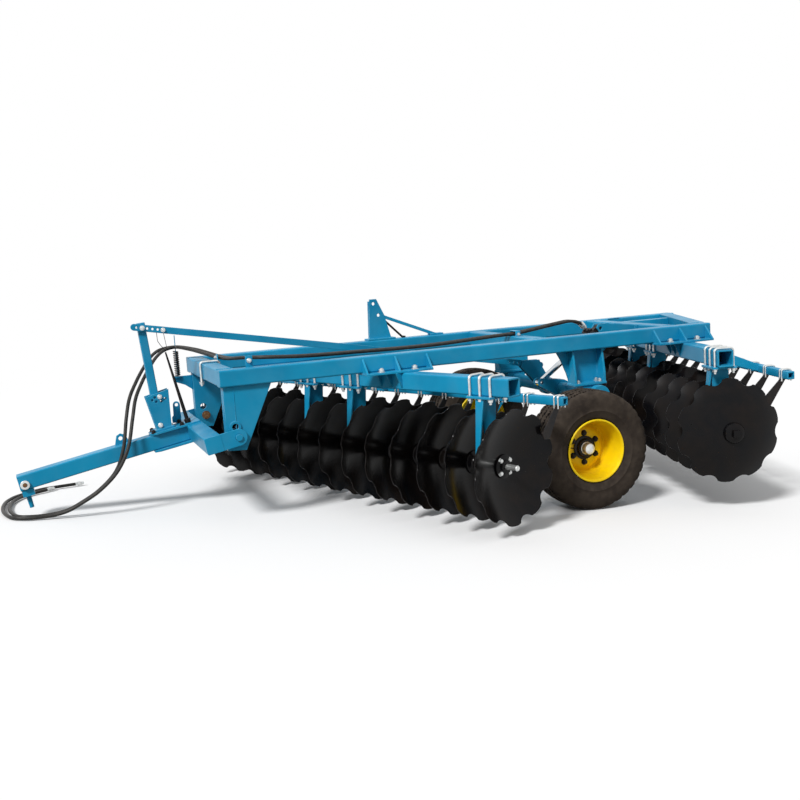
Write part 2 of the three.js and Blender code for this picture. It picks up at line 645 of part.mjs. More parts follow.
function liftLever() {
  const shape = roundEnded(SHAFT.x, SHAFT.z, SHAFT.radius + 18, LIFT_PIN.x, LIFT_PIN.z, 30);
  const cheeks = [1, -1].map((s) => extrude(shape, 12, 4).applyMatrix4(ACROSS_Y)
    .translate(0, LIFT_Y + s * 31 + 6, 0));
  const sleeve = crossRound(SHAFT.x, SHAFT.z, SHAFT.radius + 18, LIFT_Y - 30, LIFT_Y + 30, 24);
  const bore = crossRound(SHAFT.x, SHAFT.z, SHAFT.radius + GAP, LIFT_Y - 60, LIFT_Y + 60, 24);
  const holes = crossRound(LIFT_PIN.x, LIFT_PIN.z, 13, LIFT_Y - 60, LIFT_Y + 60, 14);
  return cut(joined(...cheeks, sleeve), bore, holes);
}

// Rim, nave and hub as one turned form about Y, its outer face towards +Y.
function rimGeometry() {
  const seat = BEAD_RADIUS * Math.cos(Math.PI / TYRE_SIDES) - GAP; // inside the tyre's flats
  const edge = BEAD_WIDTH / 2;
  const profile = [
    [0, 84], [40, 84], [50, 72], [50, 34], [108, 34], [150, 20], [174, 30],
    [198, edge + 13], [208, edge + 13], [seat, edge + 0.5],
    [seat, -edge - 0.5], [208, -edge - 13], [198, -edge - 13], [180, -edge + 8],
    [176, 8], [62, 18], [62, -90], [STUB_RADIUS + 0.8, -90], [STUB_RADIUS + 0.8, 10], [0, 10],
  ];
  return new THREE.LatheGeometry(profile.reverse().map(([r, y]) => new THREE.Vector2(r, y)), 24);
}

function tyreGeometry() {
  const [w, e] = [TYRE_WIDTH / 2, BEAD_WIDTH / 2];
  const half = [[BEAD_RADIUS, e], [BEAD_RADIUS + 44, w - 8], [BEAD_RADIUS + 98, w],
    [TYRE_RADIUS - 28, w - 12], [TYRE_RADIUS, w - 62]];
  const profile = [...half, ...[...half].reverse().map(([r, y]) => [r, -y])];
  profile.push(profile[0]);
  return new THREE.LatheGeometry(profile.reverse().map(([r, y]) => new THREE.Vector2(r, y)), TYRE_SIDES);
}

// ---------------------------------------------------------------- tongue and levelling

const barY = () => TONGUE_Y + 25 + BAR_CLEAR + BAR_THICKNESS / 2;

function addTongue() {
  const tongue = frameAt(PIVOT.x, 0, PIVOT.z);
  tongue.rotation.y = TONGUE_DROP;
  tongue.updateMatrix();
  const size = TONGUE_SIZE / 2;
  piece('yoke', yokeGeometry(), paint, tongue);
  piece('tongue_tube', tongueGeometry(), paint, tongue);
  piece('hitch_pin', hitchGeometry(), paint, tongue);
  piece('levelling_plates', levellingPlates(size), paint, tongue);
  piece('levelling_strut', strutGeometry(), paint, tongue);
  addLevellingBar(tongue);
}

// A box bar across the front with an arm back to each post and plates over and under the tongue.
function yokeGeometry() {
  const bar = boxTube(-HALF_WIDTH, HALF_WIDTH, YOKE_SIZE, YOKE_SIZE, 8).rotateZ(Math.PI / 2)
    .translate(YOKE_FRONT - YOKE_SIZE / 2, 0, 0);
  const armShape = roundEnded(0, 0, YOKE_SIZE / 2, YOKE_FRONT - YOKE_SIZE / 2, 0, YOKE_SIZE / 2 - 0.5);
  const inner = POST.outer + POST_BOSS + 3;
  const solids = [bar];
  const holes = [];
  for (const [, sign] of SIDES) {
    const [y0, y1] = sign > 0 ? [inner, HALF_WIDTH - 1] : [-HALF_WIDTH + 1, -inner];
    solids.push(extrude(armShape, y1 - y0, 5).applyMatrix4(ACROSS_Y).translate(0, y1, 0));
    holes.push(crossRound(0, 0, PIVOT.radius + 0.8, sign * HALF_WIDTH - 30, sign * HALF_WIDTH + 30, 24));
  }
  const gusset = [
    [YOKE_FRONT - 88, TONGUE_Y + 82], [YOKE_FRONT - 88, TONGUE_Y - 82],
    [GUSSET_FRONT - 40, TONGUE_Y - 68], [GUSSET_FRONT, TONGUE_Y - 42],
    [GUSSET_FRONT, TONGUE_Y + 42], [GUSSET_FRONT - 40, TONGUE_Y + 68],
  ];
  const face = TONGUE_SIZE / 2 + GAP;
  solids.push(floorPlate(gusset, face, face + 14), floorPlate(gusset, -face - 14, -face));
  return cut(joined(...solids), ...holes);
}

// The drawbar: a square tube with a boss across its tip for the swivel bolt.
function tongueGeometry() {
  const tube = boxTube(YOKE_FRONT + GAP, TONGUE_END, TONGUE_SIZE, TONGUE_SIZE, 8).translate(0, TONGUE_Y, 0);
  const half = TONGUE_SIZE / 2;
  const boss = crossRound(HITCH_BOLT.x, HITCH_BOLT.z, 27, TONGUE_Y - half - 7, TONGUE_Y + half + 7, 18);
  const hole = crossRound(HITCH_BOLT.x, HITCH_BOLT.z, 13, TONGUE_Y - 90, TONGUE_Y + 90, 14);
  const lug = sidePlate([
    [-46, -1], [-34, 50], [-6, 66], [19, 58], [32, 30], [44, -1],
  ].map(([x, up]) => [HOSE_LUG.x + x, half + up]), TONGUE_Y - 6, TONGUE_Y + 6);
  const eye = crossRound(HOSE_LUG.x, half + HOSE_LUG.rise, HOSE_LUG.hole, TONGUE_Y - 20, TONGUE_Y + 20, 14);
  return cut(joined(tube, boss, lug), hole, eye);
}

// A block under the tongue's tip with the drop pin that a tractor's drawbar takes.
function hitchGeometry() {
  const top = -TONGUE_SIZE / 2 - GAP;
  const foot = block(TONGUE_END - 74, TONGUE_END - 4, TONGUE_Y - 40, TONGUE_Y + 40, top - 42, top);
  const pin = new THREE.CylinderGeometry(15, 13, 78, 16).rotateX(Math.PI / 2)
    .translate(TONGUE_END - 32, TONGUE_Y, top - 80);
  return joined(foot, pin);
}

function levellingPlates(tubeTop) {
  const foot = tubeTop + GAP + 14 + GAP;
  const inner = 25 + GAP;
  const shape = [[88, foot], [180, foot], [194, foot + 228], [44, foot + 240]]
    .map(([x, z]) => [YOKE_FRONT + x, z]);
  const plates = [1, -1].map((s) => sidePlate(shape,
    TONGUE_Y + (s > 0 ? inner : -inner - 12), TONGUE_Y + (s > 0 ? inner + 12 : -inner)));
  const base = block(YOKE_FRONT + 70, YOKE_FRONT + 210, TONGUE_Y - 50, TONGUE_Y + 50, foot, foot + 12);
  return joined(...plates, base);
}

function strutGeometry() {
  const foot = { x: YOKE_FRONT + 152, z: 96 };
  const [dx, dz] = [BAR_PIN.x - foot.x, BAR_PIN.z - foot.z];
  const tube = boxTube(0, Math.hypot(dx, dz) + 30, 50, 50, 6)
    .rotateY(-Math.atan2(dz, dx)).translate(foot.x, TONGUE_Y, foot.z);
  const spacer = crossRound(BAR_PIN.x, BAR_PIN.z, 18, TONGUE_Y + 24, TONGUE_Y + 25 + BAR_CLEAR - GAP, 14);
  const pin = crossRound(BAR_PIN.x, BAR_PIN.z, 9, TONGUE_Y, barY() + BAR_THICKNESS / 2 + 10, 12);
  return joined(tube, spacer, pin);
}

// A long flat bar from the strut's head back to the levelling lever, with a row of holes at
// each end.
function addLevellingBar(tongue) {
  const front = new THREE.Vector3(BAR_PIN.x, 0, BAR_PIN.z).applyMatrix4(tongue.matrix);
  const [dx, dz] = [front.x - LEVER_PIN.x, front.z - LEVER_PIN.z];
  const reach = Math.hypot(dx, dz);
  const bar = roundEnded(-reach - 36, 0, BAR_HEIGHT / 2, 48, 0, BAR_HEIGHT / 2);
  const solid = extrude(bar, BAR_THICKNESS, 4).applyMatrix4(ACROSS_Y).translate(0, BAR_THICKNESS / 2, 0);
  const holes = [32, -32, -64, -96, -128].map((x) => crossRound(x, 0, 8, -20, 20, 8));
  holes.push(crossRound(0, 0, 9.8, -20, 20, 12));
  for (let i = 0; i < 7; i += 1) holes.push(crossRound(-reach + i * 36, 0, 8, -20, 20, 8));
  const frame = frameAt(front.x, barY(), front.z);
  frame.rotation.y = -Math.atan2(dz, dx);
  piece('levelling_bar', cut(solid, ...holes), paint, frame);
}

// ---------------------------------------------------------------- lift cylinder

function addCylinder() {
  const top = RAIL_TOP - 4;
  const foot = RAIL_BOTTOM + 4;
  const anchorShape = [
    [CYLINDER_BEAM_X + GAP, top], [CYLINDER_BEAM_X + GAP, foot], [ANCHOR_PIN.x - 60, ANCHOR_PIN.z - 62],
    [ANCHOR_PIN.x + 6, ANCHOR_PIN.z - 36], [ANCHOR_PIN.x + 30, ANCHOR_PIN.z + 4],
    [ANCHOR_PIN.x + 14, ANCHOR_PIN.z + 30], [ANCHOR_PIN.x - 44, ANCHOR_PIN.z + 32],
  ];
  const cheeks = [1, -1].map((s) => sidePlate(anchorShape, LIFT_Y + s * 31 - 6, LIFT_Y + s * 31 + 6));
  const back = block(CYLINDER_BEAM_X + GAP, CYLINDER_BEAM_X + 12, LIFT_Y - 60, LIFT_Y + 60, foot, top);
  const tie = block(ANCHOR_PIN.x - 190, ANCHOR_PIN.x - 178, LIFT_Y - 30, LIFT_Y + 30,
    ANCHOR_PIN.z - 70, ANCHOR_PIN.z - 6);
  const hole = crossRound(ANCHOR_PIN.x, ANCHOR_PIN.z, 13, LIFT_Y - 60, LIFT_Y + 60, 14);
  piece('cylinder_anchor', cut(joined(...cheeks, back, tie), hole), paint);

  const [dx, dz] = [LIFT_PIN.x - ANCHOR_PIN.x, LIFT_PIN.z - ANCHOR_PIN.z];
  const reach = Math.hypot(dx, dz);
  const line = frameAt(ANCHOR_PIN.x, LIFT_Y, ANCHOR_PIN.z);
  line.rotation.y = -Math.atan2(dz, dx);
  line.updateMatrix();
  const eyeHole = (x) => crossRound(x, 0, 13, -40, 40, 14);
  const length = reach * BARREL_SHARE;
  const barrel = joined(longRound(54, length - 22, BARREL_RADIUS, 24),
    longRound(length - 26, length, BARREL_RADIUS + 6, 24), crossRound(0, 0, 26, -20, 20, 18),
    block(0, 60, -20, 20, -22, 22), ...portSolids(line.matrix.clone().invert()));
  const bore = longRound(66, length + 10, ROD_RADIUS + 0.8, 20);
  piece('cylinder_barrel', cut(barrel, bore, eyeHole(0)), springSteel, line);
  const rod = joined(longRound(reach * (1 - ROD_SHARE), reach - 20, ROD_RADIUS, 20),
    crossRound(reach, 0, 26, -20, 20, 18));
  piece('cylinder_rod', cut(rod, eyeHole(reach)), chrome, line);
}

// The block on the barrel that takes the hoses, with a stub in line with each hose's start.
function portSolids(intoLine) {
  const solids = [];
  let behind;
  for (const [, sign] of SIDES) {
    const hose = hosePath(sign);
    const start = hose.getPoint(0).applyMatrix4(intoLine);
    const forward = hose.getTangent(0).transformDirection(intoLine);
    behind = start.clone().addScaledVector(forward, -40);
    solids.push(roundAlong(behind, start.clone().addScaledVector(forward, -HOSE_FREE), 14, 10));
  }
  solids.push(block(behind.x - 24, behind.x + 22, -37, 37, BARREL_RADIUS - 8, behind.z + 16));
  return solids;
}

// A round bar between two points.
function roundAlong(from, to, radius, sides) {
  const way = to.clone().sub(from);
  const turn = new THREE.Quaternion().setFromUnitVectors(new THREE.Vector3(0, 1, 0), way.clone().normalize());
  const middle = from.clone().add(to).multiplyScalar(0.5);
  return new THREE.CylinderGeometry(radius, radius, way.length(), sides)
    .applyQuaternion(turn).translate(...middle.toArray());
}

// ---------------------------------------------------------------- hose stand and hoses

// An arm from the right post's front, with a coil spring and a rod that keeps the hoses' arch up.
const STAND = { x: 75, y: -(RAIL_INNER + 40), seat: 832, springTop: 1008, rodTop: 1110, rodRadius: 3 };

function addHoseStand() {
  const post = POST.front + GAP;
  const arm = sidePlate([
    [post, STAND.seat], [post, STAND.seat - 100], [post + 50, STAND.seat - 62],
    [STAND.x + 24, STAND.seat - 36], [STAND.x + 24, STAND.seat],
  ], STAND.y - 6, STAND.y + 6);
  const upright = (radius, z0, z1, sides) => new THREE.CylinderGeometry(radius, radius, z1 - z0, sides)
    .rotateX(Math.PI / 2).translate(STAND.x, STAND.y, (z0 + z1) / 2);
  const seat = upright(28, STAND.seat - 8, STAND.seat, 16);
  const rod = upright(STAND.rodRadius, STAND.seat - 4, STAND.rodTop, 10);
  piece('hose_stand', joined(arm, seat, rod), paint);
  const [bottom, top] = [STAND.seat + GAP, STAND.springTop];
  const [inner, outer] = [STAND.rodRadius + 3, 19];
  const profile = [[inner, bottom], [outer, bottom]];
  for (let i = 1; i < SPRING_COILS; i += 1) {
    const z = bottom + ((top - bottom) * i) / SPRING_COILS;
    profile.push([outer - (i % 2) * 6, z]);
  }
  profile.push([outer, top], [inner, top], [inner, bottom]);
  const spring = new THREE.LatheGeometry(profile.map(([r, z]) => new THREE.Vector2(r, z)), 10)
    .rotateX(Math.PI / 2).translate(STAND.x, STAND.y, 0);
  piece('hose_spring', spring, springSteel);
}

// The hoses' route from the cylinder forward along the frame, across the front crossbeam and over
// the stand's spring, round in front of the strut and down to a loop on the floor about the drop
// pin. Each point is the middle between the two hoses. The left hose is the longer one, and its
// tail goes on alone.
const HOSE_ROUTE = [
  [-2675, 150, 957], [-2651, 150, 985], [-2610, 150, 1006], [-2550, 150, 1016], [-2444, 150, 1006],
  [-2130, 150, 967], [-1980, 152, 962], [-1476, 200, 947], [-903, 330, 962], [-526, 430, 978],
  [-300, 420, 992], [-215, 310, 990], [-165, 100, 975], [-125, -80, 978], [-80, -260, 994],
  [-15, -430, 1015], [75, -548, 1030], [165, -500, 1022], [245, -390, 985], [310, -280, 925],
  [370, -185, 855], [430, -85, 765], [468, -8, 650], [512, 48, 480], [580, 62, 348],
  [689, 58, 246], [790, 42, 185], [890, 22, 138], [1000, 8, 122], [1110, 5, 126],
  [1180, -30, 130], [1220, -125, 133], [1238, -250, 134], [1238, -370, 134],
  [1221, -500, 133], [1170, -640, 130], [1094, -747, 124], [1000, -830, 121],
];
const HOSE_TAILS = { left: [[900, -912, 113], [795, -955, 107]], right: [] };
const HOSE_FREE = 15; // between the port's stubs and the hoses, for the cylinder's swing
const HOSE_TIP = { length: 62, nut: 14.5, nose: 12.5 }; // steel coupler, with its two radii

function hosePath(sign) {
  const middle = new THREE.CatmullRomCurve3(
    HOSE_ROUTE.map(([x, y, z]) => new THREE.Vector3(x, y, z)), false, 'centripetal');
  const up = new THREE.Vector3(-Math.sin(TIP), 0, Math.cos(TIP)); // the floor's upward direction
  const points = HOSE_ROUTE.map((_, i) => {
    const at = i / (HOSE_ROUTE.length - 1);
    const across = up.clone().cross(middle.getTangent(at)).normalize();
    return middle.getPoint(at).addScaledVector(across, (sign * HOSE_PITCH) / 2);
  });
  const tail = HOSE_TAILS[sign > 0 ? 'left' : 'right'];
  points.push(...tail.map(([x, y, z]) => new THREE.Vector3(x, y, z)));
  return new THREE.CatmullRomCurve3(points, false, 'centripetal');
}

// The coupler on a hose's end: a ferrule, a hexagonal nut and a turned nose, about Y.
function couplerGeometry() {
  const { length, nut, nose } = HOSE_TIP;
  const ferrule = new THREE.CylinderGeometry(nose, nose, 20, 10).translate(0, 10, 0);
  const hexagon = new THREE.CylinderGeometry(nut, nut, 16, 6).translate(0, 27, 0);
  const spigot = new THREE.CylinderGeometry(nose - 1.5, nose - 0.5, length - 34, 10)
    .translate(0, (length + 34) / 2, 0);
  return joined(ferrule, hexagon, spigot);
}

function addHoses() {
  const section = new THREE.Shape(Array.from({ length: 8 }, (_, i) => {
    const turn = ((i + 0.5) * Math.PI) / 4;
    return new THREE.Vector2(HOSE_RADIUS * Math.cos(turn), HOSE_RADIUS * Math.sin(turn));
  }));
  for (const [side, sign] of SIDES) {
    const extrudePath = hosePath(sign);
    const hose = new THREE.ExtrudeGeometry(section, { steps: 80, bevelEnabled: false, extrudePath });
    piece(`hose_${side}`, hose, hoseRubber);
    const way = extrudePath.getTangent(1);
    const end = extrudePath.getPoint(1).addScaledVector(way, GAP);
    const coupler = frameAt(end.x, end.y, end.z);
    coupler.quaternion.setFromUnitVectors(new THREE.Vector3(0, 1, 0), way);
    piece(`hose_tip_${side}`, couplerGeometry(), zinc, coupler);
  }
}

// ---------------------------------------------------------------- assembly and stance

// Stands the machine with its lowest point at Z 0 and its middle at X 0, Y 0, hoses left out.
function standOnFloor() {
  harrow.updateMatrixWorld(true);
  const bounds = new THREE.Box3();
  harrow.traverse((object) => {
    const onHose = /^hose_(tip_)?(left|right)$/.test(object.name);
    if (object.isMesh && !onHose) bounds.expandByObject(object, true);
  });
  const middle = bounds.getCenter(new THREE.Vector3());
  machine.position.add(new THREE.Vector3(-middle.x, -middle.y, -bounds.min.z));
}

addFrame();
addPosts();
addHangers();
addMast();
for (const [name, gang] of Object.entries(GANGS)) addGang(name, gang);
addBrackets();
addRunningGear();
addTongue();
addCylinder();
addHoseStand();
addHoses();
machine.rotation.y = TIP;
standOnFloor();

export default harrow;
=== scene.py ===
"""Offset disc harrow: finishes, fine pieces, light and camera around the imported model.

Pieces are modelled in millimetres in the frame of what carries them (the machine laid out level, a
gang, the tongue, a wheel) and are then set in place in metres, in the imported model's own frame.
"""
import json
import logging
import math
from collections.abc import Callable, Iterable, Sequence
from dataclasses import dataclass, field
from enum import Enum
from typing import Any

import bmesh
import bpy
from mathutils import Matrix, Vector


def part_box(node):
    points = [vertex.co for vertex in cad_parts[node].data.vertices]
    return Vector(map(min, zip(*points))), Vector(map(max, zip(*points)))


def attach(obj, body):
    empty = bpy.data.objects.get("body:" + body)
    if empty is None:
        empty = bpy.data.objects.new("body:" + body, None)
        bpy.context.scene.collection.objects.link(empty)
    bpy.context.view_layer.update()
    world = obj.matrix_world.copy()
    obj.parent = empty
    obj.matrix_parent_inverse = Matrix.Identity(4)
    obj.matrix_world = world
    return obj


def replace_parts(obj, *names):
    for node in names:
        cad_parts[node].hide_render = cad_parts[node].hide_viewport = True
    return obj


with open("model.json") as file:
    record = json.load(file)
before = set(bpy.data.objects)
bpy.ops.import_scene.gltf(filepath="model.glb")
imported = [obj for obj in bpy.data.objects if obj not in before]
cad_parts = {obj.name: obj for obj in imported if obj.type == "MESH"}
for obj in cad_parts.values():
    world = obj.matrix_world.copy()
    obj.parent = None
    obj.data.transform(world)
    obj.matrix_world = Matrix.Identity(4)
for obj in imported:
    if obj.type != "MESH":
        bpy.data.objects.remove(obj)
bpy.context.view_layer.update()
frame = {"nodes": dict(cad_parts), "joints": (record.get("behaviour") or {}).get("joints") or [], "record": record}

LOG = logging.getLogger("harrow")
MM = 0.001
FULL_TURN = 2 * math.pi
ALONG_Y = (0, 1, 0)

Point = Sequence[float]
Colour = tuple[float, float, float, float]
Obj = bpy.types.Object
Tree = bpy.types.NodeTree
Socket = bpy.types.NodeSocket


# ---------------------------------------------------------------- places

class Body(Enum):
    """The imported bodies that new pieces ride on."""

    FRAME = "frame"
    FRONT_GANG = "front_gang"
    REAR_GANG = "rear_gang"
    LEFT_WHEEL = "left_wheel"
    RIGHT_WHEEL = "right_wheel"
    TONGUE = "tongue"
    LEVELLING_BAR = "levelling_bar"


class End(Enum):
    """Front and rear, in the words that packed names use."""

    FRONT = "front"
    REAR = "rear"


class Side(Enum):
    """Left and right, with the sign that Y has there."""

    LEFT = 1
    RIGHT = -1

    @property
    def word(self) -> str:
        """The side as packed names spell it."""
        return self.name.lower()


def joint(name: str) -> dict[str, Any]:
    """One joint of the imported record."""
    return next(entry for entry in frame["joints"] if entry["name"] == name)


@dataclass(frozen=True)
class Places:
    """Matrices from the millimetres of each carrier to the row's metres, worked out from the joints.

    The machine's own frame is laid out level, with X forward from the rails' front ends, Y to the
    left and Z up from the soil. A gang's frame runs with X along its shaft to the right from its
    left disc's rim, and Y forward. A wheel's frame has Y outwards. The levelling bar's has X forward
    along the bar, with 0 at its front pin.
    """

    machine: Matrix
    gangs: dict[End, Matrix]
    tongue: Matrix
    bar: Matrix
    wheels: dict[Side, Matrix]

    HINGE = Vector((-84, 0, 555))
    LEVER_PIN = Vector((-2379, 0, 714))
    BAR_Y = -40
    GANG_HALF = 1380
    GANG_AXIS_HEIGHT = 330
    TONGUE_DROP = 10.5  # degrees

    @classmethod
    def from_joints(cls) -> "Places":
        """Works every carrier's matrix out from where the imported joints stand.

        Returns:
            The places.
        """
        shaft = Vector(joint("rockshaft_lift")["pos_m"])
        hinge = Vector(joint("tongue_level")["pos_m"])
        ahead = (hinge - shaft).normalized()
        turn = Matrix.Rotation(math.atan2(-ahead.z, ahead.x), 4, "Y")
        scale = Matrix.Scale(MM, 4)
        machine = Matrix.Translation(hinge) @ turn @ scale @ Matrix.Translation(-cls.HINGE)
        up = turn @ Vector((0, 0, 1))
        gangs = {}
        for end in End:
            spin = joint(f"{end.value}_gang_spin")
            right = -Vector(spin["axis"]).normalized()
            start = Vector(spin["pos_m"]) - right * cls.GANG_HALF * MM - up * cls.GANG_AXIS_HEIGHT * MM
            gangs[end] = cls.axes(start, right, up.cross(right), up) @ scale
        tongue = Matrix.Translation(hinge) @ turn
        tongue = tongue @ Matrix.Rotation(math.radians(cls.TONGUE_DROP), 4, "Y") @ scale
        wheels = {}
        for side, roll in ((Side.LEFT, 0.0), (Side.RIGHT, math.pi)):
            hub = Vector(joint(f"{side.word}_wheel_spin")["pos_m"])
            wheels[side] = Matrix.Translation(hub) @ turn @ scale @ Matrix.Rotation(roll, 4, "X")
        front = machine.inverted() @ Vector(joint("levelling_bar_pivot")["pos_m"])
        along = turn @ Vector((front.x - cls.LEVER_PIN.x, 0, front.z - cls.LEVER_PIN.z)).normalized()
        across = Vector(ALONG_Y)
        start = machine @ Vector((front.x, cls.BAR_Y, front.z))
        bar = cls.axes(start, along, across, along.cross(across)) @ scale
        return cls(machine, gangs, tongue, bar, wheels)

    @staticmethod
    def axes(origin: Vector, x: Vector, y: Vector, z: Vector) -> Matrix:
        """A matrix with these axes as its columns."""
        turn = Matrix((x, y, z)).transposed().to_4x4()
        return Matrix.Translation(origin) @ turn


# ---------------------------------------------------------------- finishes

def linear(code: str) -> Colour:
    """An sRGB hex colour as linear light.

    Args:
        code: six hex digits after a hash.

    Returns:
        Linear red, green, blue and an alpha of 1.
    """
    parts = [int(code[i:i + 2], 16) / 255 for i in (1, 3, 5)]
    return (*[p / 12.92 if p <= 0.04045 else ((p + 0.055) / 1.055) ** 2.4 for p in parts], 1.0)


def cleared(owner: bpy.types.Material | bpy.types.World) -> Tree:
    """A material's or world's node tree, emptied.

    Args:
        owner: the material or world.

    Returns:
        Its tree.
    """
    owner.use_nodes = True
    owner.node_tree.nodes.clear()
    return owner.node_tree


def add_node(tree: Tree, kind: str, settings: dict[str, Any] | None = None,
             inputs: dict[str | int, Any] | None = None) -> bpy.types.Node:
    """Adds one node.

    Args:
        tree: the material's or world's node tree.
        kind: the node's type name, without its ShaderNode prefix.
        settings: attributes to set on the node.
        inputs: input names or numbers, each with a value or with the output socket that feeds it.

    Returns:
        The node.
    """
    made = tree.nodes.new(f"ShaderNode{kind}")
    for key, value in (settings or {}).items():
        setattr(made, key, value)
    for key, value in (inputs or {}).items():
        if isinstance(value, Socket):
            tree.links.new(value, made.inputs[key])
        else:
            made.inputs[key].default_value = value
    return made


@dataclass(frozen=True)
class Finish:
    """A surface: what it is made of, how it was made, and how it has aged.

    Lengths are in millimetres. shade is the colour of the slow variation over the surface. The dust
    colour is what has settled on it, and on the blue enamel it also paints a reflection of the sky on
    faces that look up. The bare colour shows where its edges are rubbed, and on the blue and yellow
    enamels it also paints a highlight along them. grain_mm is the spacing of the fine relief, such as
    orange peel, mould grain or brush marks. It is drawn coarser than the real one, which would be too
    fine to show.
    """

    name: str
    slot: str
    colour: str
    shade: str
    roughness: tuple[float, float]
    metallic: float = 0.0
    patch_mm: float = 260.0
    grain_mm: float = 3.0
    grain_depth_mm: float = 0.02
    film: str = "#B9B2A6"
    film_share: float = 0.0
    bare: str = "#9FA4A8"
    bare_share: float = 0.0
    edge_mm: float = 0.0
    specular: float = 0.5

    FILM_PATCH = 0.3  # a patch's size of dust and painted sheen, as a share of patch_mm
    RUB_PATCH_MM = 45.0

    def material(self) -> bpy.types.Material:
        """The finish as a material, made once.

        Returns:
            The material.
        """
        kept = bpy.data.materials.get(self.name)
        if kept:
            return kept
        made = bpy.data.materials.new(self.name)
        tree = cleared(made)
        where = add_node(tree, "TexCoord").outputs["Object"]
        slow = self.noise(tree, where, self.patch_mm, detail=3.0)
        grain = self.noise(tree, where, self.grain_mm, detail=2.0)
        patches = self.ramp(tree, slow, low=0.32, high=0.68)
        colour = self.blend(tree, patches, linear(self.colour), linear(self.shade))
        # Dust on faces that look up; on the blue enamel it is also a painted reflection of the sky on the tops.
        if self.film_share:
            colour = self.blend(tree, self.settled(tree, where), colour, linear(self.film))
        relief = {"Strength": 0.6, "Distance": self.grain_depth_mm * MM, "Height": grain}
        if self.edge_mm:
            rounded = add_node(tree, "Bevel", {"samples": 4}, {"Radius": self.edge_mm * MM}).outputs["Normal"]
            relief["Normal"] = rounded
            # Rubbed edges; on the blue and yellow enamels they are also a painted highlight along the edges.
            if self.bare_share:
                colour = self.blend(tree, self.rubbed(tree, where, rounded), colour, linear(self.bare))
        low, high = self.roughness
        spread = add_node(tree, "MapRange", None, {"Value": slow, "To Min": low, "To Max": high})
        bump = add_node(tree, "Bump", None, relief)
        shader = add_node(tree, "BsdfPrincipled", None, {
            "Base Color": colour, "Roughness": spread.outputs["Result"], "Metallic": self.metallic,
            "Normal": bump.outputs["Normal"], "Specular IOR Level": self.specular})
        add_node(tree, "OutputMaterial", None, {"Surface": shader.outputs["BSDF"]})
        return made

    @staticmethod
    def noise(tree: Tree, where: Socket, size_mm: float, detail: float) -> Socket:
        """A noise whose patches are about size_mm across."""
        return add_node(tree, "TexNoise", None, {
            "Vector": where, "Scale": 1.0 / (size_mm * MM), "Detail": detail}).outputs["Fac"]

    @staticmethod
    def ramp(tree: Tree, value: Socket, low: float, high: float) -> Socket:
        """A value stretched from low..high to 0..1."""
        return add_node(tree, "MapRange", {"interpolation_type": "SMOOTHSTEP"}, {
            "Value": value, "From Min": low, "From Max": high}).outputs["Result"]

    @staticmethod
    def blend(tree: Tree, share: Socket, first: Socket | Colour, second: Socket | Colour) -> Socket:
        """A mix of two colours.

        Args:
            tree: the node tree.
            share: how much of the second shows, from 0 to 1.
            first: the colour at 0.
            second: the colour at 1.

        Returns:
            The mixed colour.
        """
        mixed = add_node(tree, "Mix", {"data_type": "RGBA"}, {"Factor": share})
        for socket, value in zip([s for s in mixed.inputs if s.type == "RGBA"], (first, second)):
            if isinstance(value, Socket):
                tree.links.new(value, socket)
            else:
                socket.default_value = value
        return next(s for s in mixed.outputs if s.type == "RGBA")

    @staticmethod
    def product(tree: Tree, first: Socket, second: Socket | float) -> Socket:
        """Two values multiplied."""
        return add_node(tree, "Math", {"operation": "MULTIPLY"}, {0: first, 1: second}).outputs[0]

    def settled(self, tree: Tree, where: Socket) -> Socket:
        """How much dust, and on the blue enamel painted sky reflection, lies at a place: most on faces that look
        up, in patches.

        Args:
            tree: the node tree.
            where: the place.

        Returns:
            The share of dust and painted sheen, from 0 to the finish's full share of it.
        """
        normal = add_node(tree, "NewGeometry").outputs["Normal"]
        up = add_node(tree, "SeparateXYZ", None, {"Vector": normal}).outputs["Z"]
        upward = add_node(tree, "MapRange", None, {
            "Value": up, "From Min": -0.2, "From Max": 1.0, "To Min": 0.25, "To Max": 1.0}).outputs["Result"]
        blotches = self.noise(tree, where, self.patch_mm * self.FILM_PATCH, detail=5.0)
        patches = self.ramp(tree, blotches, low=0.36, high=0.72)
        return self.product(tree, self.product(tree, upward, patches), self.film_share)

    def rubbed(self, tree: Tree, where: Socket, rounded: Socket) -> Socket:
        """How bare a place is, and on the blue and yellow enamels how much painted highlight it takes: only where
        the rounded normal leaves the face's, in patches.

        Args:
            tree: the node tree.
            where: the place.
            rounded: the normal as if the edges were rounded.

        Returns:
            The share of bare metal and painted highlight, from 0 to the finish's full share of it.
        """
        normal = add_node(tree, "NewGeometry").outputs["True Normal"]
        match = add_node(tree, "VectorMath", {"operation": "DOT_PRODUCT"}, {0: rounded, 1: normal})
        edge = add_node(tree, "MapRange", None, {
            "Value": match.outputs["Value"], "From Min": 0.985, "From Max": 0.86}).outputs["Result"]
        blotches = self.noise(tree, where, self.RUB_PATCH_MM, detail=4.0)
        patches = self.ramp(tree, blotches, low=0.42, high=0.62)
        return self.product(tree, self.product(tree, edge, patches), self.bare_share)


# Sprayed alkyd enamel on welded steel: a clean mid blue, glossy with a slight orange peel, paler on what
# looks up with dust and a painted reflection of the sky, and lighter along edges with wear and a painted
# highlight.
BLUE_ENAMEL = Finish(
    "blue_enamel_sprayed", "blue_paint", "#138FB9", "#0F7FA8", (0.30, 0.42), patch_mm=420,
    grain_mm=4, grain_depth_mm=0.03, film="#6FA6BF", film_share=0.25, bare="#6FC0DA", bare_share=0.6,
    edge_mm=5, specular=0.16)
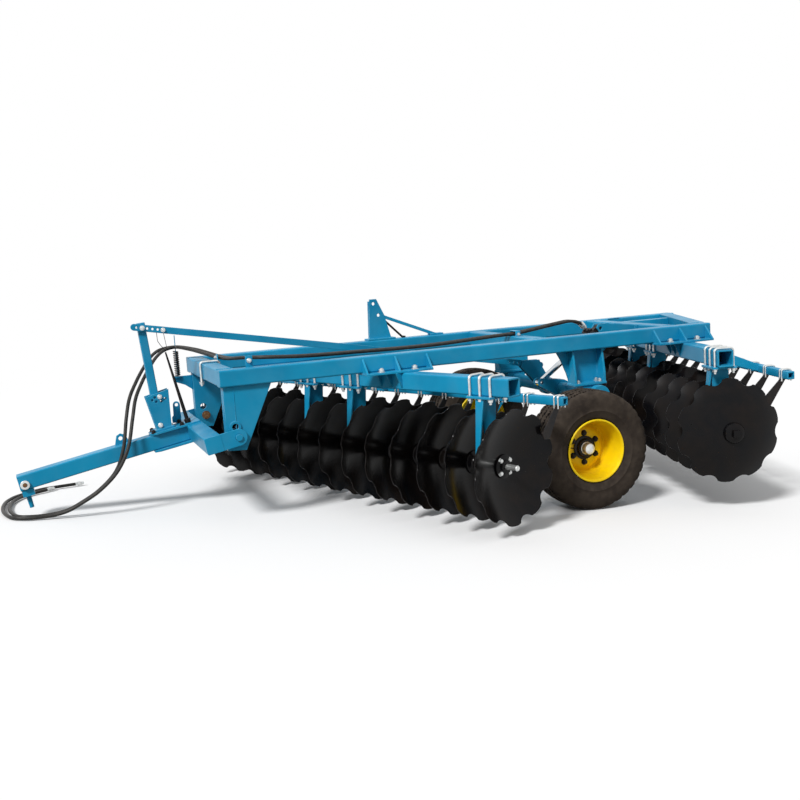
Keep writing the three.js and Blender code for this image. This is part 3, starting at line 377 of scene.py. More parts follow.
# Dipped black enamel on dished discs: deep, wet-looking black, with brownish patches that are a painted reflection
# of brown ground.
BLACK_ENAMEL = Finish(
    "black_enamel_dipped", "black_disc_paint", "#090A0D", "#120E0C", (0.14, 0.24), patch_mm=190,
    grain_mm=6, grain_depth_mm=0.02, film="#3A2C24", film_share=0.14, specular=0.14)
# Sprayed yellow enamel on a pressed steel rim: a strong warm yellow with a soft gloss, ochre where
# dust has dried, and paler along edges with wear and a painted highlight.
YELLOW_ENAMEL = Finish(
    "yellow_enamel_sprayed", "yellow_wheel_paint", "#F8D60C", "#F0C808", (0.30, 0.42),
    patch_mm=160, grain_depth_mm=0.02, film="#B08A3A", film_share=0.2, bare="#FFE98A", bare_share=0.4,
    edge_mm=2, specular=0.25)
# Moulded natural rubber with road dust, which turns it a dull warm grey.
TYRE_RUBBER = Finish(
    "tyre_rubber_moulded", "tyre_rubber", "#2C2622", "#3B342E", (0.72, 0.9), patch_mm=120,
    grain_mm=2.5, grain_depth_mm=0.12, film="#75695C", film_share=0.22, specular=0.1)
# The same rubber down in the tread's grooves, painted almost black and dull: painted shade in the grooves.
GROOVE_PAINTED_SHADE = Finish(
    "groove_rubber_moulded", "tyre_rubber", "#0C0A09", "#141110", (0.8, 0.9), patch_mm=120,
    grain_mm=2.5, grain_depth_mm=0.12, specular=0.05)
# Extruded nitrile cover of a hydraulic hose: near black, with a soft sheen and a cloth-marked skin.
HOSE_COVER = Finish(
    "hose_cover_extruded", "hose_rubber", "#1E1E1D", "#2B2A28", (0.38, 0.52), patch_mm=90,
    grain_mm=1.6, grain_depth_mm=0.1, film="#5E5850", film_share=0.25, specular=0.25)
# Black enamel on the spring, rods, hubs and cylinder: a soft sheen under brown dust, with grey steel
# along rubbed edges.
BLACK_STEEL = Finish(
    "black_enamel_on_steel", "spring_black", "#0F1013", "#1E1917", (0.34, 0.5), patch_mm=80,
    grain_depth_mm=0.03, film="#4A3C32", film_share=0.2, bare="#5C5954", bare_share=0.3, edge_mm=1,
    specular=0.2)
# Electroplated zinc on bolts: pale silver with a slight milky bloom.
ZINC = Finish(
    "zinc_electroplated", "zinc", "#E3E5E4", "#C9CCCB", (0.28, 0.46), metallic=0.85, patch_mm=30,
    grain_mm=1.5, grain_depth_mm=0.03, film="#9C9384", film_share=0.25)
# Hard chrome, ground and polished, on the cylinder's rod: a cold, nearly even mirror.
CHROME = Finish("hard_chrome_ground", "chrome", "#D9DCDF", "#CDD1D4", (0.08, 0.14), metallic=1.0,
                patch_mm=60, grain_mm=0.8, grain_depth_mm=0.01)
# Turned mild steel with a film of rust: brown and patchy, with some metal still shining through.
RUSTED_STEEL = Finish(
    "mild_steel_rusted", "zinc", "#8A6A45", "#6B4A30", (0.5, 0.7), metallic=0.6, patch_mm=14,
    grain_mm=2, grain_depth_mm=0.1)

CAD_FINISHES = {finish.slot: finish for finish in (
    BLUE_ENAMEL, BLACK_ENAMEL, YELLOW_ENAMEL, TYRE_RUBBER, HOSE_COVER, BLACK_STEEL, ZINC, CHROME)}


# ---------------------------------------------------------------- modelling

class Axis(Enum):
    """The axis that a section is turned about, with the turn that takes Z there."""

    X = Matrix.Rotation(math.pi / 2, 4, "Y")
    Y = Matrix.Rotation(-math.pi / 2, 4, "X")
    Z = Matrix.Identity(4)


class Plane(Enum):
    """The plane that a plate's outline lies in: XZ looks across the machine, and YZ along it."""

    XZ = "across"
    YZ = "along"

    def corner(self, u: float, v: float, off: float) -> Point:
        """A corner at u and v in the plane, and so far off it."""
        return (u, off, v) if self is Plane.XZ else (off, u, v)


def linked(name: str, data: bpy.types.ID) -> Obj:
    """A new object in the scene.

    Args:
        name: its name.
        data: its mesh, curve, camera or light.

    Returns:
        The object.
    """
    obj = bpy.data.objects.new(name, data)
    bpy.context.scene.collection.objects.link(obj)
    return obj


def alone(obj: Obj) -> None:
    """Selects one object by itself and makes it active.

    Args:
        obj: the object.
    """
    bpy.ops.object.select_all(action="DESELECT")
    obj.select_set(True)
    bpy.context.view_layer.objects.active = obj


def fresh_primitive(kind: str, **settings: Any) -> Obj:
    """Adds a primitive with nothing else selected.

    Args:
        kind: the primitive's name in bpy.ops.mesh.
        settings: its size and place, in the carrier's millimetres.

    Returns:
        The new object, active and selected.
    """
    bpy.ops.object.select_all(action="DESELECT")
    getattr(bpy.ops.mesh, f"primitive_{kind}_add")(**settings)
    return bpy.context.object


def settle(obj: Obj) -> Obj:
    """Takes an object's own place into its mesh, so that it stands at the origin.

    Args:
        obj: the object.

    Returns:
        The same object.
    """
    obj.data.transform(obj.matrix_basis)
    obj.matrix_basis = Matrix.Identity(4)
    return obj


def with_modifier(obj: Obj, kind: str, **settings: Any) -> Obj:
    """Adds a modifier and applies it.

    Args:
        obj: the object.
        kind: the modifier's type.
        settings: its settings.

    Returns:
        The same object.
    """
    bpy.context.view_layer.objects.active = obj
    added = obj.modifiers.new(kind.title(), kind)
    for key, value in settings.items():
        setattr(added, key, value)
    bpy.ops.object.modifier_apply(modifier=added.name)
    return obj


def with_bevel(obj: Obj, width: float, segments: int = 2, sharper_than: float = 35.0) -> Obj:
    """Rounds an object's edges where they turn more than so many degrees."""
    return with_modifier(obj, "BEVEL", width=width, segments=segments, limit_method="ANGLE",
                         angle_limit=math.radians(sharper_than))


def drilled(obj: Obj, drill: Obj) -> Obj:
    """Cuts a drill's shape out of an object and takes the drill away.

    Args:
        obj: what is drilled.
        drill: a closed shape where the holes go.

    Returns:
        The drilled object.
    """
    with_modifier(obj, "BOOLEAN", operation="DIFFERENCE", solver="EXACT", object=drill)
    bpy.data.objects.remove(drill)
    return obj


def edited(obj: Obj, *steps: Callable[[], object]) -> Obj:
    """Runs edit-mode steps on all of an object's mesh, then merges doubles and turns faces outwards.

    Args:
        obj: the object.
        steps: the steps, in order.

    Returns:
        The same object.
    """
    bpy.context.view_layer.objects.active = obj
    bpy.ops.object.mode_set(mode="EDIT")
    bpy.ops.mesh.select_all(action="SELECT")
    for step in steps:
        step()
    bpy.ops.mesh.select_all(action="SELECT")
    bpy.ops.mesh.remove_doubles(threshold=0.01)
    bpy.ops.mesh.normals_make_consistent(inside=False)
    bpy.ops.object.mode_set(mode="OBJECT")
    return obj


def turned(profile: Sequence[Point], sides: int = 32, axis: Axis = Axis.Z) -> Obj:
    """Turns a closed section about an axis.

    Args:
        profile: radius and height of each corner of the section, in order round it.
        sides: facets of the full turn.
        axis: the axis of the turn.

    Returns:
        The turned object.
    """
    obj = fresh_primitive("circle", vertices=len(profile), fill_type="NOTHING")
    for vertex, (radius, height) in zip(obj.data.vertices, profile):
        vertex.co = (radius, 0, height)
    edited(obj, lambda: bpy.ops.mesh.spin(
        steps=sides, angle=FULL_TURN, center=(0, 0, 0), axis=(0, 0, 1), use_auto_merge=True))
    obj.data.transform(axis.value)
    return obj


def plate(points: Sequence[Point], depth: float, plane: Plane, start: float) -> Obj:
    """Cuts a flat outline and gives it thickness.

    Args:
        points: the outline's corners in its plane, in order.
        depth: the thickness.
        plane: the outline's plane.
        start: where the thickness begins, off that plane.

    Returns:
        The plate.
    """
    obj = fresh_primitive("circle", vertices=len(points), fill_type="NGON")
    for vertex, (u, v) in zip(obj.data.vertices, points):
        vertex.co = plane.corner(u, v, start)
    return edited(obj, lambda: bpy.ops.mesh.extrude_region_move(
        TRANSFORM_OT_translate={"value": plane.corner(0, 0, depth)}))


def round_curve(name: str, points: Sequence[Point], radius: float, resolution: int) -> Obj:
    """A curve of straight stretches with a round section and closed ends.

    Args:
        name: its name.
        points: its middle line.
        radius: of its section.
        resolution: how finely the section is divided.

    Returns:
        The curve object.
    """
    line = bpy.data.curves.new(name, "CURVE")
    line.dimensions = "3D"
    line.bevel_depth = radius
    line.bevel_resolution = resolution
    line.use_fill_caps = True
    spline = line.splines.new("POLY")
    spline.points.add(len(points) - 1)
    for knot, point in zip(spline.points, points):
        knot.co = (*point, 1)
    return linked(name, line)


def rod_along(points: Sequence[Point], radius: float, resolution: int = 1) -> Obj:
    """A round bar bent along points, with closed ends.

    Args:
        points: its middle line.
        radius: of the bar.
        resolution: how finely its section is divided.

    Returns:
        The bar, as a mesh.
    """
    alone(round_curve("bar", points, radius, resolution))
    bpy.ops.object.convert(target="MESH")
    return edited(bpy.context.object)


def stamped(source: Obj, places: Iterable[Matrix]) -> Obj:
    """One object with a copy of a mesh at each place.

    Args:
        source: what is repeated.
        places: where each copy goes.

    Returns:
        The source, now with all the copies.
    """
    whole = bmesh.new()
    for place in places:
        copy = source.data.copy()
        copy.transform(place)
        whole.from_mesh(copy)
        bpy.data.meshes.remove(copy)
    whole.to_mesh(source.data)
    whole.free()
    return source


def joined(first: Obj, *rest: Obj) -> Obj:
    """Several objects as one mesh.

    Args:
        first: the object that takes in the rest.
        rest: the other objects, which go.

    Returns:
        The first object.
    """
    whole = bmesh.new()
    for obj in (first, *rest):
        whole.from_mesh(obj.data)
    whole.to_mesh(first.data)
    whole.free()
    for obj in rest:
        bpy.data.objects.remove(obj)
    return first


def copied(node: str, place: Matrix) -> Obj:
    """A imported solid's shape as a new object, in its carrier's millimetres.

    Args:
        node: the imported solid's name.
        place: from those millimetres to metres.

    Returns:
        The copy, with its doubles merged.
    """
    mesh = frame["nodes"][node].data.copy()
    mesh.transform(place.inverted())
    whole = bmesh.new()
    whole.from_mesh(mesh)
    bmesh.ops.remove_doubles(whole, verts=whole.verts, dist=0.01)
    whole.to_mesh(mesh)
    whole.free()
    return linked(node, mesh)


def at(x: float, y: float, z: float) -> Matrix:
    """A move."""
    return Matrix.Translation((x, y, z))


def facing(point: Point, direction: Point) -> Matrix:
    """A place at a point whose Z looks along a direction."""
    turn = Vector(direction).to_track_quat("Z", "X").to_matrix().to_4x4()
    return Matrix.Translation(point) @ turn


def deliver(obj: Obj, name: str, body: Body, finish: Finish, place: Matrix,
            smooth: float = 32.0) -> Obj:
    """Sets a piece in place, gives it its finish and hands it to the body that carries it.

    Args:
        obj: the modelled piece, in its carrier's millimetres.
        name: its name.
        body: the body that it rides on.
        finish: its surface.
        place: from those millimetres to metres.
        smooth: edges flatter than this many degrees are shaded smooth.

    Returns:
        The piece.
    """
    obj.data.transform(place)
    obj.name = obj.data.name = name
    obj.data.materials.clear()
    obj.data.materials.append(finish.material())
    alone(obj)
    bpy.ops.object.shade_smooth_by_angle(angle=math.radians(smooth))
    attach(obj, body.value)
    LOG.info("%s: %d faces on %s", name, len(obj.data.polygons), body.value)
    return obj


# ---------------------------------------------------------------- fasteners

@dataclass(frozen=True)
class Fasteners:
    """Bolts and nuts, each made at the origin with its seat at Z 0 and looking up Z."""

    washer: float = 3.5
    washer_share: float = 1.25
    shank_share: float = 0.27
    tip_share: float = 0.14
    bevel_share: float = 0.05
    rim_edge: float = 1.2
    bend_steps: int = 6

    def hex_bolt(self, across: float, head: float) -> Obj:
        """A hexagon head or nut on a washer, with the end of its shank standing out of it.

        Args:
            across: width over the corners.
            head: height of the head.

        Returns:
            The bolt.
        """
        top = self.washer + head
        washer = self.disc(across * self.washer_share / 2, 0, self.washer)
        hexagon = settle(fresh_primitive("cylinder", vertices=6, radius=across / 2, depth=head,
                                         location=(0, 0, self.washer + head / 2)))
        with_bevel(hexagon, across * self.bevel_share, 1)
        tip = self.disc(across * self.shank_share, top, top + across * self.tip_share)
        return joined(washer, hexagon, tip)

    def disc(self, radius: float, low: float, high: float) -> Obj:
        """A short round with a chamfered rim."""
        edge = min(self.rim_edge, (high - low) / 3)
        return turned([(0, low), (radius - edge, low), (radius, low + edge), (radius, high - edge),
                       (radius - edge, high), (0, high)], 20)

    def u_bolt(self, half: float, top: float, bottom: float, corner: float, radius: float) -> Obj:
        """A bar bent over something square, in the YZ plane.

        Args:
            half: half the distance between its legs.
            top: height of its crown's middle line.
            bottom: height of its ends.
            corner: bend radius.
            radius: of the bar.

        Returns:
            The bent bar.
        """
        points = [(0, -half, bottom)]
        for start, sign in ((math.pi, -1), (math.pi / 2, 1)):
            for step in range(self.bend_steps + 1):
                turn = start - step * math.pi / (2 * self.bend_steps)
                points.append((0, sign * (half - corner) + corner * math.cos(turn),
                               top - corner + corner * math.sin(turn)))
        points.append((0, half, bottom))
        return rod_along(points, radius, 2)


KIT = Fasteners()
UPSIDE_DOWN = Matrix.Rotation(math.pi, 4, "X")


# ---------------------------------------------------------------- hoses

@dataclass
class Hoses:
    """Two hydraulic hoses from the lift cylinder to couplers on the floor beside the drop pin."""

    places: Places
    diameter: float = 22.0
    pitch: float = 40.0
    fineness: int = 6  # stretches of the finished line between two points of the route
    route: tuple[Point, ...] = (
        (-2675, 150, 957), (-2651, 150, 985), (-2610, 150, 1006), (-2550, 150, 1016), (-2444, 150, 1006),
        (-2130, 150, 967), (-1980, 152, 962), (-1476, 200, 947), (-903, 330, 962), (-526, 430, 978),
        (-300, 420, 992), (-215, 310, 990), (-165, 100, 975), (-125, -80, 978), (-80, -260, 994),
        (-15, -430, 1015), (75, -548, 1030), (165, -500, 1022), (245, -390, 985), (310, -280, 925),
        (370, -185, 855), (430, -85, 765), (468, -8, 650), (512, 48, 480), (580, 62, 348),
        (689, 58, 246), (790, 42, 185), (890, 22, 138), (1000, 8, 122), (1110, 5, 126),
        (1180, -30, 130), (1220, -125, 133), (1238, -250, 134), (1238, -370, 134),
        (1221, -500, 133), (1170, -640, 130), (1094, -747, 124), (1000, -830, 121),
    )
    tails: dict[Side, tuple[Point, ...]] = field(default_factory=lambda: {
        Side.LEFT: ((900, -912, 113), (795, -955, 107)), Side.RIGHT: ()})

    TINY = 1e-4

    @classmethod
    def on_curve(cls, points: Sequence[Vector], share: float) -> Vector:
        """A point on a centripetal curve through points.

        Args:
            points: what the curve goes through.
            share: how far along it, as a share of its stretches.

        Returns:
            The point.
        """
        last = len(points) - 1
        index = min(int(share * last), last - 1)
        weight = share * last - index
        before = points[index - 1] if index else points[0] * 2 - points[1]
        after = points[index + 2] if index + 2 <= last else points[last] * 2 - points[last - 1]
        knots = (before, points[index], points[index + 1], after)
        gaps = [max((end - start).length ** 0.5, cls.TINY) for start, end in zip(knots, knots[1:])]
        a, b, c, d = knots
        t1 = ((b - a) / gaps[0] - (c - a) / (gaps[0] + gaps[1]) + (c - b) / gaps[1]) * gaps[1]
        t2 = ((c - b) / gaps[1] - (d - b) / (gaps[1] + gaps[2]) + (d - c) / gaps[2]) * gaps[1]
        return (b + t1 * weight + (-3 * b + 3 * c - 2 * t1 - t2) * weight ** 2
                + (2 * b - 2 * c + t1 + t2) * weight ** 3)

    def centre_line(self, side: Side, tip: float) -> list[Vector]:
        """One hose's centre line, beside the shared route.

        Args:
            side: whose hose.
            tip: the machine's nose-down tip, in radians.

        Returns:
            Points close together, in the machine's millimetres.
        """
        middle = [Vector(point) for point in self.route]
        up = Vector((-math.sin(tip), 0, math.cos(tip)))
        last = len(middle) - 1
        beside = []
        for index in range(last + 1):
            share = index / last
            before, after = max(share - self.TINY, 0), min(share + self.TINY, 1)
            way = self.on_curve(middle, after) - self.on_curve(middle, before)
            beside.append(middle[index] + up.cross(way).normalized() * side.value * self.pitch / 2)
        beside += [Vector(point) for point in self.tails[side]]
        steps = self.fineness * len(beside)
        return [self.on_curve(beside, step / steps) for step in range(steps + 1)]

    def build(self) -> None:
        machine = self.places.machine
        for side in Side:
            points = [machine @ point for point in self.centre_line(side, machine.to_euler().y)]
            hose = round_curve(f"hydraulic_hose_{side.word}", points, self.diameter / 2 * MM, 3)
            hose.data.splines[0].use_smooth = True
            hose.data.materials.append(HOSE_COVER.material())
            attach(hose, Body.FRAME.value)
            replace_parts(hose, f"hose_{side.word}")
            self.ferrule(side, points)

    @staticmethod
    def ferrule(side: Side, points: Sequence[Vector]) -> None:
        """The crimped steel sleeve at the end that leaves the cylinder.

        Args:
            side: whose hose.
            points: its centre line, in metres.
        """
        way = (points[2] - points[0]).normalized()
        sleeve = turned([(0, 3), (11.3, 3), (12.6, 12), (13.2, 18), (12.6, 21), (13.4, 24), (13.4, 34),
                         (12.8, 37), (13.4, 40), (13.4, 48), (11.3, 56), (0, 56)], 20)
        deliver(sleeve, f"hose_ferrule_{side.word}", Body.FRAME, ZINC,
                facing(points[0], way) @ Matrix.Scale(MM, 4))


# ---------------------------------------------------------------- gangs

@dataclass
class DiscGang:
    """One gang of notched, dished discs with the spools between them and the end fittings."""

    places: Places
    end: End
    body: Body
    hollow: int  # +1 where the discs' hollow sides face left
    radius: float = 330.0
    hub_radius: float = 62.0
    thickness: float = 6.0
    rim_bevel: float = 1.6
    dish: float = 95.0
    count: int = 13
    spacing: float = 230.0
    notches: int = 10
    notch_depth: float = 32.0
    notch_share: float = 0.5
    notch_steps: int = 8
    lobe_round: float = 5.0
    lobe_steps: int = 4
    rings: int = 8
    cut_from: float = 0.72  # the share of the radius where the notches begin
    cut_over: float = 0.28  # the share over which they reach their depth
    stud_circle: float = 50.0
    studs: int = 4
    leg_gaps: tuple[int, ...] = (0, 5, 7, 11)
    leg_offset: float = 45.0

    @property
    def pitch(self) -> float:
        """The angle from one notch to the next."""
        return FULL_TURN / self.notches

    @property
    def notch(self) -> float:
        """The angle that a notch takes."""
        return self.pitch * self.notch_share

    @property
    def per_pitch(self) -> int:
        """Rim corners from one notch to the next."""
        return self.notch_steps + self.lobe_steps

    def hub(self, index: int) -> float:
        """Where a disc's middle stands along the shaft."""
        return index * self.spacing + self.hollow * self.dish

    def legs(self) -> list[float]:
        """Where the bearing legs stand along the shaft."""
        return [self.hub(gap) + self.spacing / 2 - self.hollow * self.leg_offset for gap in self.leg_gaps]

    def rim_cut(self, offset: float) -> float:
        """How deep the rim is cut at an angle from a notch's middle.

        Args:
            offset: that angle.

        Returns:
            The depth: a round notch, with the corners of the lobes beside it rounded.
        """
        if abs(offset) > self.notch / 2:
            lobe = abs(offset - self.pitch / 2) / ((self.pitch - self.notch) / 2)
            return self.lobe_round * lobe ** 3
        half = self.radius * math.sin(self.notch / 2)
        curve = (half ** 2 + self.notch_depth ** 2) / (2 * self.notch_depth)
        across = self.radius * math.sin(min(abs(offset), half / self.radius))
        depth = max(0.0, math.sqrt(max(curve ** 2 - across ** 2, 0)) - (curve - self.notch_depth))
        return depth + self.lobe_round * (abs(offset) / (self.notch / 2)) ** 4

    def shape(self, vertex: bpy.types.MeshVertex) -> None:
        """Moves one corner of the flat round sheet to its place on the notched, dished disc.

        Args:
            vertex: the corner.
        """
        radius = math.hypot(vertex.co.x, vertex.co.y)
        sides = self.notches * self.per_pitch
        step = round(math.atan2(vertex.co.y, vertex.co.x) / FULL_TURN * sides) % sides
        notch_index, within = divmod(step, self.per_pitch)
        if within <= self.notch_steps:
            offset = (within / self.notch_steps - 0.5) * self.notch
        else:
            along = (within - self.notch_steps) / self.lobe_steps
            offset = self.notch / 2 + along * (self.pitch - self.notch)
        share = max(0.0, (radius - self.radius * self.cut_from) / (self.radius * self.cut_over))
        radius -= self.rim_cut(offset) * share ** 1.5
        turn = (notch_index + 0.5) * self.pitch + offset - math.pi / 2
        sphere = (self.radius ** 2 + self.dish ** 2) / (2 * self.dish)
        lift = sphere - math.sqrt(sphere ** 2 - radius ** 2)
        vertex.co = (-self.hollow * lift, radius * math.cos(turn), radius * math.sin(turn))

    def disc(self) -> Obj:
        """One disc about the X axis, its middle at 0: a round sheet inset in rings, then cut and dished.

        Returns:
            The disc.
        """
        obj = fresh_primitive("circle", vertices=self.notches * self.per_pitch, radius=self.radius,
                              fill_type="NGON")
        step = (self.radius - self.hub_radius) / self.rings
        edited(obj, *[lambda: bpy.ops.mesh.inset(thickness=step) for _ in range(self.rings)])
        for vertex in obj.data.vertices:
            self.shape(vertex)
        edited(obj)
        with_modifier(obj, "SOLIDIFY", thickness=self.thickness, offset=0)
        with_bevel(obj, self.rim_bevel, 1, sharper_than=60)
        for vertex in obj.data.vertices:
            outside = math.hypot(vertex.co.y, vertex.co.z) / (self.radius - 0.2)
            if outside > 1:
                vertex.co = (vertex.co.x, vertex.co.y / outside, vertex.co.z / outside)
        return obj

    def spool(self) -> Obj:
        """A cast spool between two discs, from 4 mm off one hub to 4 mm off the next.

        Returns:
            The spool.
        """
        half = [(0, 4), (64, 4), (68, 8), (68, 15), (62, 21), (48, 28), (40, 38), (38, 52)]
        return turned([*half, *[(r, self.spacing - x) for r, x in reversed(half)]], 28, Axis.X)

    @staticmethod
    def end_fitting(capped: bool) -> Obj:
        """The casting outside the end disc, looking towards -X from 0.

        Args:
            capped: whether a round cap and a square nut close it, or a flanged hub.

        Returns:
            Its black parts.
        """
        if capped:
            cap = turned([(0, -4), (66, -4), (66, -12), (60, -22), (44, -30), (30, -32), (0, -32)],
                         32, Axis.X)
            nut = settle(fresh_primitive("cube", size=1, location=(-42, 0, 0), scale=(24, 44, 44)))
            return joined(cap, with_bevel(nut, 3))
        return turned([(0, -4), (68, -4), (68, -16), (58, -20), (40, -22), (38, -34), (26, -36), (0, -36)],
                      32, Axis.X)

    def shaft_end(self) -> Obj:
        """The bright end of the shaft and the nuts round it, looking towards -X from 0.

        Returns:
            The shaft's end.
        """
        stub = turned([(0, -30), (17, -30), (17, -112), (14, -116), (0, -116)], 20, Axis.X)
        angles = [math.pi / 4 + index * FULL_TURN / self.studs for index in range(self.studs)]
        nuts = stamped(KIT.hex_bolt(26, 10), [
            facing((-16, self.stud_circle * math.cos(angle), self.stud_circle * math.sin(angle)), (-1, 0, 0))
            for angle in angles])
        return joined(stub, nuts)

    def build(self) -> None:
        """Makes the gang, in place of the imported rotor."""
        axis = self.places.gangs[self.end] @ at(0, 0, self.radius)
        down = axis.to_3x3().inverted() @ Vector((0, 0, -1))
        axis = axis @ Matrix.Rotation(math.atan2(down.y, -down.z), 4, "X")
        hubs = [at(self.hub(index), 0, 0) for index in range(self.count)]
        discs = stamped(self.disc(), hubs)
        deliver(discs, f"notched_discs_{self.end.value}", self.body, BLACK_ENAMEL, axis, 40)
        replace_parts(discs, f"disc_gang_{self.end.value}")
        black, bright = [stamped(self.spool(), hubs[:-1])], []
        left, right = hubs[0], hubs[-1] @ Matrix.Rotation(math.pi, 4, "Z")
        for place, capped in ((left, self.hollow < 0), (right, self.hollow > 0)):
            black.append(stamped(self.end_fitting(capped), [place]))
            if not capped:
                bright.append(stamped(self.shaft_end(), [place]))
        deliver(joined(*black), f"gang_spools_{self.end.value}", self.body, BLACK_ENAMEL, axis)
        deliver(joined(*bright), f"gang_bolt_{self.end.value}", self.body, ZINC, axis)


@dataclass
class GangDress:
    """What a gang beam carries: U-bolts over it at each leg, their nuts, and the scraper bar."""

    gang: DiscGang
    beam_middle: float = 20.0
    beam_half: float = 50.0
    beam_top: float = 839.4
    leg_seat: float = 722.1
    u_bolt_gap: float = 9.0
    u_bolt_tail: float = 30.0
    u_bolt_corner: float = 20.0
    u_bolt_radius: float = 8.0
    u_bolt_shifts: tuple[float, ...] = (-78.0, 0.0, 78.0)
    bar_y: float = -385.0
    bar_z: float = 655.0
    bar_half: float = 25.0
    bar_wall: float = 5.0
    bar_overhang: float = 60.0
    bar_hollow: float = 60.0
    arm_shares: tuple[float, ...] = (0.13, 0.53, 0.88)
    arm_seat: tuple[float, float] = (742.4, 827.4)
    arm_width: float = 12.0
    blade_offset: float = 16.0
    blade_width: float = 8.0
    clip_gap: float = 6.0
    clip_tail: float = 16.0
    clip_corner: float = 10.0
    clip_radius: float = 5.0
    clip_shifts: tuple[float, ...] = (-14.0, 14.0)

    @property
    def level(self) -> Matrix:
        """The place of the gang's own frame."""
        return self.gang.places.gangs[self.gang.end]

    def blade_places(self) -> list[float]:
        """Where the blades stand along the shaft, each at a disc's hollow side."""
        return [i * self.gang.spacing - self.gang.hollow * self.blade_offset for i in range(self.gang.count)]

    def build(self) -> None:
        """Makes the U-bolts, nuts, scraper bar and clips of one gang."""
        name = self.gang.end.value
        along = [x + shift for x in self.gang.legs() for shift in self.u_bolt_shifts]
        half = self.beam_half + self.u_bolt_gap
        bolt = KIT.u_bolt(half, self.beam_top + self.u_bolt_gap, self.leg_seat - self.u_bolt_tail,
                          self.u_bolt_corner, self.u_bolt_radius)
        bolts = stamped(bolt, [at(x, self.beam_middle, 0) for x in along])
        deliver(bolts, f"u_bolts_{name}", Body.FRAME, ZINC, self.level)
        nuts = stamped(KIT.hex_bolt(30, 14), [
            at(x, self.beam_middle + sign * half, self.leg_seat) @ UPSIDE_DOWN
            for x in along for sign in (-1, 1)])
        deliver(nuts, f"u_bolt_nuts_{name}", Body.FRAME, ZINC, self.level)
        self.scraper(name)
        reach = self.bar_half + self.clip_gap
        clip = KIT.u_bolt(reach, self.bar_z + reach, self.bar_z - self.bar_half - self.clip_tail,
                          self.clip_corner, self.clip_radius)
        clips = stamped(clip, [
            at(x + shift, self.bar_y, 0) for x in self.blade_places() for shift in self.clip_shifts])
        deliver(clips, f"scraper_clips_{name}", Body.FRAME, ZINC, self.level)

    def scraper(self, name: str) -> None:
        """A square hollow bar on three arms, with a black blade at each disc's hollow side.

        Args:
            name: front or rear.
        """
        y, z, half = self.bar_y, self.bar_z, self.bar_half
        length = self.gang.spacing * (self.gang.count - 1)
        outline = [(y - half, z - half), (y + half, z - half), (y + half, z + half), (y - half, z + half)]
        tube = plate(outline, length + 2 * self.bar_overhang, Plane.YZ, -self.bar_overhang)
        with_bevel(tube, 5, 2)
        for end in (-self.bar_overhang, length + self.bar_overhang):
            self.hollow_end(tube, end)
        back = self.beam_middle - self.beam_half - 0.3
        low, high = self.arm_seat
        outline = [(back, high), (back, low), (y + 10, z - 20), (y - 20, z + 20), (y + 30, z + 36)]
        starts = [length * share - self.arm_width / 2 for share in self.arm_shares]
        arms = [with_bevel(plate(outline, self.arm_width, Plane.YZ, start), 1.5, 1) for start in starts]
        bar = deliver(joined(tube, *arms), f"scraper_beam_{name}", Body.FRAME, BLUE_ENAMEL, self.level)
        outline = [(y - 12, z - 10), (y + 20, z - 10), (y + 165, z - 165), (y + 150, z - 200),
                   (y + 105, z - 205)]
        blade = with_bevel(plate(outline, self.blade_width, Plane.YZ, -self.blade_width / 2), 1.2, 1)
        blades = stamped(blade, [at(x, 0, 0) for x in self.blade_places()])
        deliver(blades, f"scraper_blades_{name}", Body.FRAME, BLACK_STEEL, self.level)
        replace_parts(bar, f"scraper_bar_{name}")
        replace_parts(blades, f"scraper_bar_{name}")

    def hollow_end(self, tube: Obj, end: float) -> None:
        """Opens a closed end of a tube that lies along X.

        Args:
            tube: the tube.
            end: where that end is.
        """
        alone(tube)
        bpy.ops.object.mode_set(mode="EDIT")
        bpy.ops.mesh.select_all(action="DESELECT")
        bpy.ops.object.mode_set(mode="OBJECT")
        face = max(tube.data.polygons, key=lambda one: one.area if abs(one.center.x - end) < 1 else 0)
        face.select = True
        inward = self.bar_hollow if end < 0 else -self.bar_hollow
        bpy.ops.object.mode_set(mode="EDIT")
        bpy.ops.mesh.select_mode(type="FACE")
        bpy.ops.mesh.inset(thickness=self.bar_wall)
        bpy.ops.mesh.extrude_region_move(TRANSFORM_OT_translate={"value": (inward, 0, 0)})
        bpy.ops.object.mode_set(mode="OBJECT")


# ---------------------------------------------------------------- wheels

